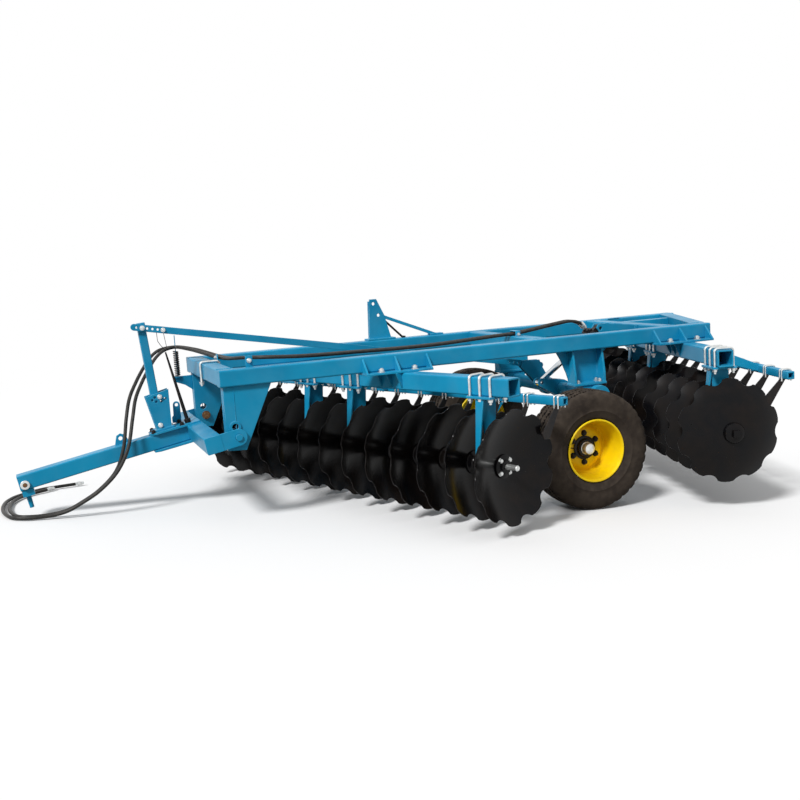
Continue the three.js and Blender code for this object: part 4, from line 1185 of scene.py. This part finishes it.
@dataclass
class Wheel:
    """One road wheel: a ribbed implement tyre on a pressed rim with a hub, studs and a cap."""

    places: Places
    side: Side
    body: Body
    radius: float = 380.0
    width: float = 264.0
    bead_radius: float = 199.0
    bead_width: float = 210.0
    crown_drop: float = 14.0
    tread_from: float = 330.0
    grooves: tuple[float, ...] = (-70.0, -24.0, 24.0, 70.0)
    groove_depth: float = 13.0
    groove_half: float = 11.0
    groove_wave: float = 7.0
    outer_groove: float = 96.0
    dark_below: float = 5.0
    waves: int = 36
    shoulder: float = 88.0
    lug_depth: float = 9.0
    stud_circle: float = 94.0
    studs: int = 6
    first_stud: float = 0.55  # radians
    nave: float = -38.0

    def tyre(self) -> Obj:
        """The tyre about Y: a turned casing whose tread is then cut with wavy grooves.

        Returns:
            The tyre.
        """
        half, bead = self.width / 2, self.bead_width / 2
        wall = [(self.bead_radius + out, y) for out, y in (
            (0, bead - 8), (2, bead), (14, bead + 9), (30, half - 14), (50, half - 6), (56, half - 3),
            (62, half - 6), (85, half), (118, half - 2))]
        wall += [(self.radius - 42, half - 6), (self.radius - 28, half - 11), (self.radius - 14, half - 20)]
        edge = int(half) - 28
        crown = [(self.crown(y), y) for y in range(edge, -edge - 1, -4)]
        profile = [*wall, *crown, *[(r, -y) for r, y in reversed(wall)]]
        obj = turned([(r, -y) for r, y in profile], 4 * self.waves, Axis.Y)
        for vertex in obj.data.vertices:
            self.tread(vertex)
        return obj

    def crown(self, y: float) -> float:
        """The tread's radius at a place across it."""
        return self.radius - self.crown_drop * (abs(y) / (self.width / 2)) ** 3

    def tread(self, vertex: bpy.types.MeshVertex) -> None:
        """Sinks a vertex that lies in a groove or between shoulder lugs.

        Args:
            vertex: a corner of the casing.
        """
        x, y, z = vertex.co
        radius = math.hypot(x, z)
        if radius < self.tread_from:
            return
        turn = math.atan2(z, x) * self.waves
        depth = 0.0
        for middle in self.grooves:
            off = abs(y - middle - self.groove_wave * math.sin(turn))
            depth = max(depth, self.groove_depth * max(0.0, 1 - (off / self.groove_half) ** 4))
        if abs(y) > self.shoulder:
            lug = math.sin(turn + (math.pi / 2 if y > 0 else 0))
            depth = max(depth, self.lug_depth * max(0.0, lug - 0.2) * min(1.0, (abs(y) - self.shoulder) / 10))
        share = (radius - depth) / radius
        vertex.co = (x * share, y, z * share)

    def in_groove(self, spot: Vector) -> bool:
        """Whether a place on the tyre lies down in one of the tread's grooves."""
        floor = self.crown(spot.y) - self.dark_below
        return abs(spot.y) < self.outer_groove and math.hypot(spot.x, spot.z) < floor

    def rim(self) -> Obj:
        """The pressed rim with its flanges, well and dished nave, about Y with its face at +Y.

        Returns:
            The rim.
        """
        edge = self.bead_width / 2
        profile = [
            (60, -38), (112, -38), (126, -42), (140, -54), (150, -66), (158, -70), (163, -64), (166, -40),
            (170, 20), (174, 60), (182, edge - 12), (185, edge + 6), (190, edge + 13), (196, edge + 14),
            (200, edge + 11), (200, edge + 7), (195, edge + 7), (191, edge + 1), (188, edge - 10), (181, 60),
            (176, 0), (172, -60), (182, -84), (190, -edge), (195, -edge - 7), (200, -edge - 7),
            (200, -edge - 11), (196, -edge - 14), (190, -edge - 13), (185, -edge - 6), (176, -84),
            (164, -78), (148, -76), (136, -62), (122, -50), (108, -46), (60, -46)]
        return turned(profile, 72, Axis.Y)

    def build(self) -> None:
        """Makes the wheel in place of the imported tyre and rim."""
        place, word = self.places.wheels[self.side], self.side.word
        casing = self.tyre()
        # Faces down in the grooves take the near-black rubber: painted shade in the grooves.
        sunk = [int(self.in_groove(face.center)) for face in casing.data.polygons]
        tyre = deliver(casing, f"ribbed_tyre_{word}", self.body, TYRE_RUBBER, place, 50)
        tyre.data.materials.append(GROOVE_PAINTED_SHADE.material())
        tyre.data.polygons.foreach_set("material_index", sunk)
        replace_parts(tyre, f"tyre_{word}")
        rim = deliver(self.rim(), f"pressed_rim_{word}", self.body, YELLOW_ENAMEL, place, 40)
        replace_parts(rim, f"rim_{word}")
        hub = turned([(30, -118), (60, -118), (60, self.nave), (76, self.nave), (76, -26), (62, -22),
                      (54, -6), (30, -6)], 32, Axis.Y)
        turns = [index * FULL_TURN / self.studs + self.first_stud for index in range(self.studs)]
        nuts = stamped(KIT.hex_bolt(32, 15), [
            facing((self.stud_circle * math.cos(turn), self.nave, self.stud_circle * math.sin(turn)), ALONG_Y)
            for turn in turns])
        deliver(joined(hub, nuts), f"wheel_hub_{word}", self.body, BLACK_STEEL, place)
        cap = turned([(0, -8), (40, -8), (40, -2), (37, 0), (37, 30), (33, 40), (22, 46), (0, 47)],
                     32, Axis.Y)
        deliver(cap, f"hub_cap_{word}", self.body, ZINC, place)
        valve = rod_along([(160, 60, 30), (150, 62, 28), (140, 74, 26)], 4)
        deliver(valve, f"tyre_valve_{word}", self.body, BLACK_STEEL, place)


# ---------------------------------------------------------------- frame

@dataclass
class FrameDress:
    """Bolts, clamps, a U-bolt, weld beads and the mast's rod, in the machine's own frame."""

    places: Places
    rail_outer: float = 600.0
    rail_top: float = 952.0
    flange_top: float = 851.7
    bracket_reach: float = 108.0
    bracket_bolt_out: float = 42.0
    bracket_lip: tuple[float, float] = (670.0, 838.0)  # past this Y and Z only the lip is left
    hanger_x: float = -2442.0
    hanger_reach: float = 82.0
    hanger_rows: tuple[float, ...] = (530.0, 572.0)
    hanger_seat: float = 634.0
    strap: float = 6.0
    u_bolt_half: float = 59.0
    u_bolt_foot: float = 812.0
    u_bolt_nut: float = 838.0
    u_bolt_spot: tuple[float, float] = (-50.0, 22.0)
    pin_inner: float = 490.0
    weld_radius: float = 3.5
    weld_ripple: float = 0.8
    post_weld_radius: float = 2.6
    beam_fronts: tuple[float, ...] = (0.0, -2080.0, -3080.0, -3280.0)
    rail_weld_y: float = 499.0
    post_weld_y: float = 575.0

    def build(self) -> None:
        """Makes every fastener and clamp that the frame carries."""
        self.bracket_bolts()
        self.hanger_bolts()
        self.hose_clamps()
        self.crossbeam_u_bolt()
        self.pin_heads()
        self.weld_beads()
        self.mast_rod()

    def give(self, obj: Obj, name: str, finish: Finish, smooth: float = 32.0) -> None:
        """Sets a piece in place on the frame."""
        deliver(obj, name, Body.FRAME, finish, self.places.machine, smooth)

    def bracket_bolts(self) -> None:
        """Bolts through each flange bracket's lip, between its gussets."""
        out = self.rail_outer + self.bracket_bolt_out
        spots = [at(self.bracket_middle(end, side) + shift, side.value * out, self.flange_top)
                 for end in End for side in Side for shift in (-self.bracket_reach, self.bracket_reach)]
        self.give(stamped(KIT.hex_bolt(38, 17), spots), "bracket_bolts", ZINC)

    def bracket_middle(self, end: End, side: Side) -> float:
        """Where a flange bracket's middle stands along the rail.

        Args:
            end: which gang's bracket.
            side: which rail's.

        Returns:
            Its X.
        """
        node = frame["nodes"][f"flange_bracket_{end.value}_{side.word}"]
        back = self.places.machine.inverted()
        points = [back @ vertex.co for vertex in node.data.vertices]
        y, z = self.bracket_lip
        lip = [point.x for point in points if abs(point.y) > y and point.z > z]
        return (min(lip) + max(lip)) / 2

    def hanger_bolts(self) -> None:
        """Bolts through each shaft hanger's base plate."""
        spots = [at(self.hanger_x + shift, side.value * y, self.hanger_seat)
                 for side in Side for shift in (-self.hanger_reach, self.hanger_reach)
                 for y in self.hanger_rows]
        self.give(stamped(KIT.hex_bolt(30, 14), spots), "hanger_bolts", ZINC)

    def hose_clamps(self) -> None:
        """Bolted straps that keep the hoses by the rail and crossbeam, and a saddle over the middle one."""
        side = with_bevel(plate([(-222, 880), (-178, 880), (-178, 1016), (-222, 1016)],
                                self.strap, Plane.XZ, 493.5), 1.5)
        front = with_bevel(plate([(-22, 880), (22, 880), (22, 1000), (-22, 1000)],
                                 self.strap, Plane.YZ, -106.4), 1.5)
        outline = [(90, 952.4), (90, 956), (104, 958), (104, 986), (196, 986), (196, 958),
                   (210, 956), (210, 952.4), (190, 952.4), (190, 981), (110, 981), (110, 952.4)]
        saddle = with_bevel(plate(outline, 36, Plane.YZ, -2148), 1)
        self.give(joined(side, front, saddle), "hose_straps", BLUE_ENAMEL)
        bolts = stamped(KIT.hex_bolt(24, 10), [
            facing((-200, 499.6, 986), ALONG_Y), facing((-100.4, 0, 980), (1, 0, 0)),
            at(-2130, 97, 956), at(-2130, 203, 956)])
        self.give(bolts, "hose_strap_bolts", ZINC)

    def mast_rod(self) -> None:
        """A black rod from the mast's rear edge down to the rail."""
        low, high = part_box("mast")
        y = (self.places.machine.inverted() @ ((low + high) / 2)).y
        rod = rod_along([(-1425, y, 1092), (-1441, y, 1083), (-1565, y, 960), (-1590, y, 956)], 8, 2)
        self.give(rod, "mast_rod", BLACK_STEEL)

    def crossbeam_u_bolt(self) -> None:
        """A bright U-bolt over the front crossbeam with nuts below."""
        bar = KIT.u_bolt(self.u_bolt_half, self.rail_top + 9, self.u_bolt_foot, 16, 8)
        nuts = stamped(KIT.hex_bolt(28, 13), [
            at(0, sign * self.u_bolt_half, self.u_bolt_nut) @ UPSIDE_DOWN for sign in (-1, 1)])
        spot = at(*self.u_bolt_spot, 0) @ Matrix.Rotation(-math.pi / 2, 4, "Z")
        whole = stamped(joined(bar, nuts), [spot])
        self.give(whole, "crossbeam_u_bolt", ZINC)

    def pin_heads(self) -> None:
        """Bolt heads on the inner ends of the tongue's hinge pins."""
        x, _, z = Places.HINGE
        heads = stamped(KIT.hex_bolt(46, 14), [
            facing((x, sign * self.pin_inner, z), (0, -sign, 0)) for sign in (-1, 1)])
        self.give(heads, "hinge_pin_heads", RUSTED_STEEL)

    def weld_beads(self) -> None:
        """Weld beads where crossbeams meet the rails and where the posts meet them."""
        beads = []
        for front in self.beam_fronts:
            for y in (-self.rail_weld_y, self.rail_weld_y):
                along = [(front - step * 12.5, y, 951 + self.weld_ripple * (step % 2)) for step in range(9)]
                beads.append(rod_along(along, self.weld_radius))
        for y in (-self.post_weld_y, self.post_weld_y):
            along = [(-14 - step * 9, y, 850 - self.weld_ripple * (step % 2)) for step in range(20)]
            beads.append(rod_along(along, self.weld_radius))
            down = [(-78, y, 590 + step * 9) for step in range(29)]
            beads.append(rod_along(down, self.post_weld_radius))
        self.give(joined(*beads), "weld_beads", BLUE_ENAMEL, 60)


# ---------------------------------------------------------------- tongue

@dataclass
class TongueDress:
    """Bolts, the drilled plates, the stay rod and a lug on the tongue and the levelling linkage."""

    places: Places
    tube_y: float = -80.0
    half: float = 47.5
    swivel: tuple[float, float] = (1218.0, -14.0)
    swivel_stand: float = 7.0
    gusset_top: float = 14.3
    near_plate: float = 37.4
    bar_pin: tuple[float, float, float] = (295.0, -21.5, 712.0)
    bar_stop: tuple[float, float, float] = (-128.0, 9.0, 0.0)
    hole_radius: float = 8.5
    eye_radius: float = 11.0
    eye_wall: float = 11.0

    def build(self) -> None:
        """Makes what the tongue carries, and what hangs on its posts."""
        place = self.places.tongue
        x, z = self.swivel
        swivel = facing((x, self.tube_y + self.half + self.swivel_stand, z), ALONG_Y)
        ring = turned([(14, 0), (26, 0), (28, 2), (28, 6), (26, 8), (14, 8)], 28)
        deliver(stamped(ring, [swivel]), "swivel_washer", Body.TONGUE, ZINC, place)
        bolt = turned([(0, -100), (12.4, -100), (12.4, 4), (10, 7), (0, 7)], 20)
        deliver(stamped(bolt, [swivel]), "swivel_bolt", Body.TONGUE, RUSTED_STEEL, place)
        corners = ((225, 60), (225, -60), (405, 44), (405, -44))
        nuts = stamped(KIT.hex_bolt(28, 13), [
            at(x, self.tube_y + off, self.half + self.gusset_top) for x, off in corners])
        deliver(nuts, "gusset_nuts", Body.TONGUE, BLACK_STEEL, place)
        near = self.tube_y + self.near_plate
        bolts = stamped(KIT.hex_bolt(25, 10), [
            facing(spot, ALONG_Y) for spot in (self.bar_pin, (352, near, 96), (308, near, 270))])
        deliver(bolts, "strut_bolts", Body.TONGUE, ZINC, place)
        self.drilled_plates(place)
        self.stay_rod(self.places.machine)
        self.eye_lug(self.places.machine)
        stop = stamped(KIT.hex_bolt(24, 9), [facing(self.bar_stop, ALONG_Y)])
        deliver(stop, "bar_stop_bolt", Body.LEVELLING_BAR, ZINC, self.places.bar)

    def drilled_plates(self, place: Matrix) -> None:
        """The pair of levelling plates again, with the row of holes across their heads.

        Args:
            place: from the tongue's millimetres to metres.
        """
        radius = self.hole_radius
        holes = [(358, 262), (336, 246), (306, 240), (278, 250), (338, 274)]
        drill = stamped(turned([(0, -90), (radius, -90), (radius, 90), (0, 90)], 16, Axis.Y),
                        [at(x, self.tube_y, z) for x, z in holes])
        plates = drilled(copied("levelling_plates", place), drill)
        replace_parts(deliver(plates, "drilled_levelling_plates", Body.TONGUE, BLUE_ENAMEL, place),
                    "levelling_plates")

    @staticmethod
    def stay_rod(place: Matrix) -> None:
        """A tapered black rod that leans back to the gusset, and the two thin wires at its top.

        Args:
            place: from the machine's millimetres to metres.
        """
        top, foot = Vector((206, -50, 1040)), Vector((107, -50, 584))
        length = (foot - top).length
        rod = turned([(0, 0), (5, 2), (6, 40), (10, length * 0.6), (12, length - 26), (20, length - 22),
                      (20, length), (0, length)], 16)
        deliver(stamped(rod, [facing(top, foot - top)]), "stay_rod", Body.TONGUE, BLACK_STEEL, place)
        first = rod_along([(251, -40, 1170), (248, -44, 1112), (232, -48, 1085), (205, -50, 1050)], 2)
        second = rod_along([(209, -40, 1164), (200, -46, 1100), (196, -50, 1076), (203, -50, 1048)], 1.6)
        deliver(joined(first, second), "stay_wires", Body.LEVELLING_BAR, BLACK_STEEL, place)

    def eye_lug(self, place: Matrix) -> None:
        """A short upright lug with an eye, beside the rod's foot.

        Args:
            place: from the machine's millimetres to metres.
        """
        x, z, outer = 156, 690, self.eye_radius + self.eye_wall
        turns = [k * math.pi / 8 for k in range(9)]
        points = [(134, 575), (190, 575), (190, 612), (180, 622), (178, 688)]
        points += [(x + outer * math.cos(turn), z + outer * math.sin(turn)) for turn in turns]
        points += [(134, 622)]
        lug = with_bevel(plate(points, 14, Plane.XZ, -157), 2)
        drill = turned([(0, -40), (self.eye_radius, -40), (self.eye_radius, 40), (0, 40)], 20, Axis.Y)
        lug = drilled(lug, stamped(drill, [at(x, -150, z)]))
        deliver(lug, "stay_eye_lug", Body.TONGUE, BLUE_ENAMEL, place)


# ---------------------------------------------------------------- hose stand

@dataclass
class HoseStand:
    """The coil spring that carries the hoses over the right post."""

    places: Places
    x: float = 75.0
    y: float = -540.0
    seat: float = 832.3
    top: float = 1006.0
    coil_radius: float = 15.5
    wire: float = 4.2
    turns: int = 13
    per_turn: int = 16

    def build(self) -> None:
        """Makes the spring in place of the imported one."""
        steps = self.turns * self.per_turn
        points = []
        for step in range(steps + 1):
            turn = step / self.per_turn * FULL_TURN
            z = self.seat + self.wire + (self.top - self.seat - 2 * self.wire) * step / steps
            points.append((self.x + self.coil_radius * math.cos(turn),
                           self.y + self.coil_radius * math.sin(turn), z))
        spring = deliver(rod_along(points, self.wire), "coil_spring", Body.FRAME, BLACK_STEEL,
                         self.places.machine, 60)
        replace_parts(spring, "hose_spring")


# ---------------------------------------------------------------- studio

@dataclass(frozen=True)
class Studio:
    """The floor, the light and the camera."""

    beside_shaft: Point = (3.56131, 6.38627, 0.72096)  # metres from the rockshaft's middle
    right: Point = (-0.935615, 0.353019, 0.001735)
    up: Point = (-0.038111, -0.105891, 0.993647)
    forward: Point = (-0.350960, -0.929605, -0.112527)
    sensor_mm: float = 36.0
    lens_mm: float = 45.62865
    shift: tuple[float, float] = (0.00104375, -0.00119125)
    sight: float = 200.0
    sun_from: Point = (0.62, 0.48, 0.66)
    sun_strength: float = 3.1
    sun_width: float = 12.0  # degrees
    sky_strength: float = 0.5
    floor_size: float = 60.0
    floor_fade: tuple[float, float] = (2.5, 9.0)
    floor_seen: str = "#F4F4F4"
    floor_lit_back: str = "#8C8880"  # what it throws back, as a greyer yard would

    def camera(self) -> None:
        """Stands the camera at its view."""
        data = bpy.data.cameras.new("camera")
        data.sensor_width = self.sensor_mm
        data.lens = self.lens_mm
        data.shift_x, data.shift_y = self.shift
        data.clip_end = self.sight
        eye = linked("camera", data)
        stand = Vector(joint("rockshaft_lift")["pos_m"]) + Vector(self.beside_shaft)
        eye.matrix_world = Places.axes(stand, Vector(self.right), Vector(self.up), -Vector(self.forward))
        bpy.context.scene.camera = eye

    def light(self) -> None:
        """One soft sun and an even white sky that the camera sees as plain white."""
        scene = bpy.context.scene
        scene.view_settings.view_transform = "Standard"
        scene.world = bpy.data.worlds.new("white_sky")
        tree = cleared(scene.world)
        path = add_node(tree, "LightPath")
        seen = path.outputs["Is Camera Ray"]
        for name in ("Is Glossy Ray", "Is Transmission Ray"):
            seen = add_node(tree, "Math", {"operation": "MAXIMUM"}, {
                0: seen, 1: path.outputs[name]}).outputs[0]
        strength = add_node(tree, "MapRange", None, {
            "Value": seen, "To Min": self.sky_strength, "To Max": 1.0}).outputs["Result"]
        sky = add_node(tree, "Background", None, {"Color": (1, 1, 1, 1), "Strength": strength})
        add_node(tree, "OutputWorld", None, {"Surface": sky.outputs["Background"]})
        data = bpy.data.lights.new("sun", "SUN")
        data.energy = self.sun_strength
        data.angle = math.radians(self.sun_width)
        sun = linked("sun", data)
        sun.rotation_mode = "QUATERNION"
        sun.rotation_quaternion = Vector(self.sun_from).to_track_quat("Z", "Y")

    def floor(self) -> None:
        """A white floor that takes the shadow near the machine and fades to plain white."""
        ground = settle(fresh_primitive("grid", x_subdivisions=8, y_subdivisions=8, size=self.floor_size,
                                        location=(0, 0, 0)))
        ground.name = "floor"
        made = bpy.data.materials.new("studio_floor_matt")
        tree = cleared(made)
        where = add_node(tree, "TexCoord").outputs["Object"]
        away = add_node(tree, "VectorMath", {"operation": "LENGTH"}, {0: where}).outputs["Value"]
        near, far = self.floor_fade
        fade = Finish.ramp(tree, away, near, far)
        path = add_node(tree, "LightPath")
        tone = Finish.blend(tree, path.outputs["Is Diffuse Ray"], linear(self.floor_seen),
                            linear(self.floor_lit_back))
        matt = add_node(tree, "BsdfPrincipled", None, {
            "Base Color": tone, "Roughness": 0.9, "Specular IOR Level": 0.0})
        bright = add_node(tree, "Emission", None, {"Color": (1, 1, 1, 1), "Strength": 1.0})
        share = Finish.product(tree, fade, path.outputs["Is Camera Ray"])
        mixed = add_node(tree, "MixShader", None, {
            0: share, 1: matt.outputs["BSDF"], 2: bright.outputs["Emission"]})
        add_node(tree, "OutputMaterial", None, {"Surface": mixed.outputs["Shader"]})
        ground.data.materials.append(made)


# ---------------------------------------------------------------- the whole

def dress_packed_nodes() -> None:
    """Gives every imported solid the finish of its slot."""
    slots = {part["node"]: part["material_slot"] for part in frame["record"]["subparts"]}
    for name, node in frame["nodes"].items():
        finish = CAD_FINISHES[slots[name]]
        if not node.material_slots:
            node.data.materials.append(None)
        for slot in node.material_slots:
            slot.material = finish.material()


def main() -> None:
    """Builds the scene in order."""
    logging.basicConfig(level=logging.INFO, format="%(name)s: %(message)s")
    places = Places.from_joints()
    studio = Studio()
    studio.camera()
    Hoses(places).build()
    studio.light()
    studio.floor()
    dress_packed_nodes()
    for end, body, hollow in ((End.FRONT, Body.FRONT_GANG, 1), (End.REAR, Body.REAR_GANG, -1)):
        gang = DiscGang(places, end, body, hollow)
        gang.build()
        GangDress(gang).build()
    Wheel(places, Side.LEFT, Body.LEFT_WHEEL).build()
    Wheel(places, Side.RIGHT, Body.RIGHT_WHEEL).build()
    FrameDress(places).build()
    TongueDress(places).build()
    HoseStand(places).build()


if __name__ == "__main__":
    main()
